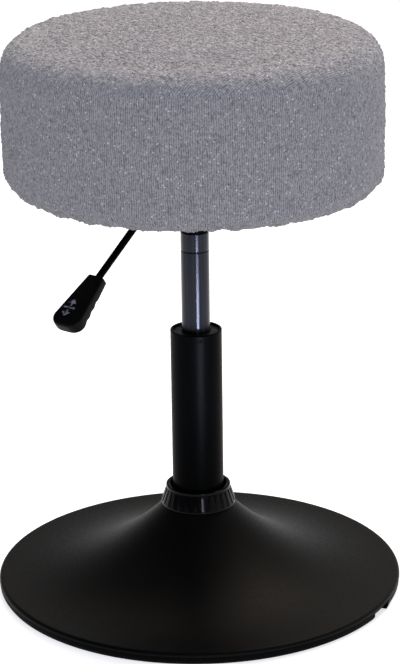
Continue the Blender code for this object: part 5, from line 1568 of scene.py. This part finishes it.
# %% Stretch the dust cover
STAPLE_COUNT = 40
DUST_RADIUS = 149.0
DUST_STEPS = 240
DUST_THICK = 0.55
DUST_DROP = 0.05                # it hangs this far below what it covers
RIPPLE, RIPPLE_FROM = 0.22, 129.0
HEM_LUMPS = 0.35                # the cover lies on the lumps of the hem, this far below its outline
dust_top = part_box("dust_cover")[1].z / MM
hem_face = HEM_HEIGHT - HEM_LUMPS
dust_rings = [(0.5, dust_top), (40.0, dust_top), (85.0, dust_top), (118.0, dust_top), (124.5, dust_top),
              (126.8, dust_top - 0.5), (128.6, dust_top - 2.2), (130.2, hem_face), (136.0, hem_face),
              (141.0, hem_face), (145.0, hem_face), (DUST_RADIUS, hem_face)]
dust_bearings = math.tau * np.arange(DUST_STEPS) / DUST_STEPS
dust_points = []
for radius, height in dust_rings:
    ripple = 0.0 if radius < RIPPLE_FROM else RIPPLE
    wave = ripple * (np.cos(dust_bearings * STAPLE_COUNT) - 1.0)
    dust_points.append(np.stack([radius * np.cos(dust_bearings), radius * np.sin(dust_bearings),
                                 height + wave - DUST_DROP], axis=1))
back_points = [ring - np.array([0.0, 0.0, DUST_THICK]) for ring in dust_points]
shape = bmesh.new()
loops = [[shape.verts.new(p * MM) for p in ring] for ring in dust_points + back_points[::-1]]
join_loops(shape, loops)
shape.faces.new(loops[0])
shape.faces.new(loops[-1][::-1])
dust_mesh = finish_mesh(shape, "dust_sheet", sharp=60.0)
dust_sheet = place_piece("dust_sheet", dust_mesh, SPUN_BOND, "seat", "black_nonwoven", "dust_cover")

# %% Staple it to the board
STAPLE_SIZE = (1.1, 10.0, 0.6)
STAPLE_ROUND = 0.25
STAPLE_RADIUS, STAPLE_DROP = 142.5, 0.75
staple = stand_in(finish_mesh(rounded_bar(STAPLE_SIZE, STAPLE_ROUND, 1), "staple", sharp=40.0))
staple_points = ring_of_points("staple_points", STAPLE_COUNT, STAPLE_RADIUS, hem_face - STAPLE_DROP)
staples = grow("staples", staple_points, OUTWARDS, Shape=staple, Material=ZINC)
bpy.data.objects.remove(staple)
place_piece("hem_staples", staples, ZINC, "seat", "zinc_steel")

# %% [markdown]
# ## Solids that stay
# The rest of the solids are already the right shape: folded sheet, bolts and the parts
# inside the column. They keep their meshes and get the finish of their own slot.

# %% Finishes for the solids that stay
FINISH_OF_SLOT = {
    "black_powder_coat": BLACK_PAINT, "gloss_black_steel": DARK_PLATE, "black_rubber": RUBBER,
    "black_plastic": GLOSS_ABS, "grey_plastic": ACETAL, "zinc_steel": ZINC, "turned_aluminium": ALUMINIUM,
    "plywood": PLYWOOD, "seat_foam": FOAM, "grey_boucle": BOUCLE, "black_nonwoven": SPUN_BOND,
}
slot_of_node = {part["node"]: part["material_slot"] for part in frame["record"]["subparts"]}
for name, node in frame["nodes"].items():
    node.data.materials.clear()
    node.data.materials.append(FINISH_OF_SLOT[slot_of_node[name]])
print("finished", len(frame["nodes"]), "solids from", len(FINISH_OF_SLOT), "finishes")

# %% [markdown]
# ## Floor and light
# The stool stood in a plain bright place. The floor is pale and takes the stool's soft
# shadow, and a little light of its own, shown only to the camera and to reflections,
# lifts it to white. A wide warm lamp hangs behind the stool, so the top is bright and turns
# dark quickly where the cloth rolls over the front, and the sky around is cooler and weaker.
# What the black steel mirrors is bright near the floor and dim higher up, like a paper sweep
# in a room. An upright wall seen from above mirrors what is low, so a small lamp near the
# floor draws the streak down the cylinder, and one at the front right glints on the collar.

# %% Floor
FLOOR_SIZE = 14.0               # metres from its middle to a side
FLOOR_LIFT = 0.62
floor_material, floor_tree, floor_shader = new_finish("pale_floor", Roughness=0.9, Specular_IOR_Level=0.1)
ray = add(floor_tree, "ShaderNodeLightPath")
seen = ray.outputs["Is Camera Ray"]
for kind in ("Is Glossy Ray", "Is Transmission Ray"):
    larger = add(floor_tree, "ShaderNodeMath", {0: seen, 1: ray.outputs[kind]}, operation="MAXIMUM")
    seen = larger.outputs["Value"]
lifted = add(floor_tree, "ShaderNodeMath", {0: seen, 1: FLOOR_LIFT}, operation="MULTIPLY")
wire(floor_tree, floor_shader, {"Base Color": colour("e9e9ea"), "Emission Color": colour("ffffff"),
                                "Emission Strength": lifted.outputs["Value"]})
shape = bmesh.new()
bmesh.ops.create_grid(shape, x_segments=2, y_segments=2, size=FLOOR_SIZE)
floor_mesh = bpy.data.meshes.new("floor")
shape.to_mesh(floor_mesh)
shape.free()
floor_mesh.materials.append(floor_material)
floor = bpy.data.objects.new("floor", floor_mesh)
scene.collection.objects.link(floor)
print("laid a floor", 2 * FLOOR_SIZE, "metres wide")

# %% Sky
SKY_LEAN = (-0.2, -0.12, 1.0)           # the mirrored room is brighter low down and to the back right
SKY_LIGHT = [0.46, 0.475, 0.535, 1.0]   # linear: the cool light that falls on the stool
SKY_SEEN = [1.0, 1.0, 1.0, 1.0]
world = bpy.data.worlds.new("studio")
scene.world = world
world.use_nodes = True
sky = world.node_tree
sky_ray = add(sky, "ShaderNodeLightPath").outputs
upwards = add(sky, "ShaderNodeTexCoord").outputs["Generated"]
lean = add(sky, "ShaderNodeVectorMath", {0: upwards, 1: SKY_LEAN}, operation="DOT_PRODUCT")
backdrop = add(sky, "ShaderNodeValToRGB", {"Fac": lean.outputs["Value"]},
               ((0.0, "ececec"), (0.12, "dadadb"), (0.25, "7c7d82"), (0.6, "4c4d52"), (1.0, "404146")))
mirrored = add(sky, "ShaderNodeMix", {"Factor": sky_ray["Is Glossy Ray"], 6: SKY_LIGHT,
                                      7: backdrop.outputs["Color"]}, data_type="RGBA")
sky_seen = add(sky, "ShaderNodeMath", {0: sky_ray["Is Camera Ray"], 1: sky_ray["Is Transmission Ray"]},
               operation="MAXIMUM")
shown = add(sky, "ShaderNodeMix", {"Factor": sky_seen.outputs["Value"], 6: mirrored.outputs[2],
                                   7: SKY_SEEN}, data_type="RGBA")
wire(sky, sky.nodes["Background"], {"Color": shown.outputs[2]})
print("made a sky of", len(sky.nodes), "nodes")

# %% Lamps
def lamp(name, place, aim, width, height, power, tint, spread=180.0):
    """A flat lamp at a place, facing a point; spread narrows its beam, in degrees."""
    light = bpy.data.lights.new(name, "AREA")
    light.shape = "RECTANGLE"
    light.size = width
    light.size_y = height
    light.energy = power
    light.color = colour(tint)[:3]
    light.spread = math.radians(spread)
    holder = bpy.data.objects.new(name, light)
    holder.location = place
    holder.rotation_mode = "QUATERNION"
    holder.rotation_quaternion = (Vector(aim) - Vector(place)).to_track_quat("-Z", "Y")
    holder.visible_camera = False
    scene.collection.objects.link(holder)
    print(name, "of", power, "watts")


lamp("behind_above", (0.4, 1.1, 2.2), (0.0, 0.0, 0.55), 1.7, 1.0, 40.0, "ffeedb")
lamp("front_right", (0.5, -2.1, 0.6), (0.0, 0.0, 0.25), 0.14, 0.4, 4.2, "e3eaff")
lamp("low_strip", (0.175, -0.58, 0.05), (0.0, 0.0, 0.27), 0.2, 0.08, 0.17, "dfe6ff", spread=30.0)

# %% [markdown]
# ## Last setting
# The last cell sets the colour view to Standard.

# %% Set the colour view
scene.view_settings.view_transform = "Standard"
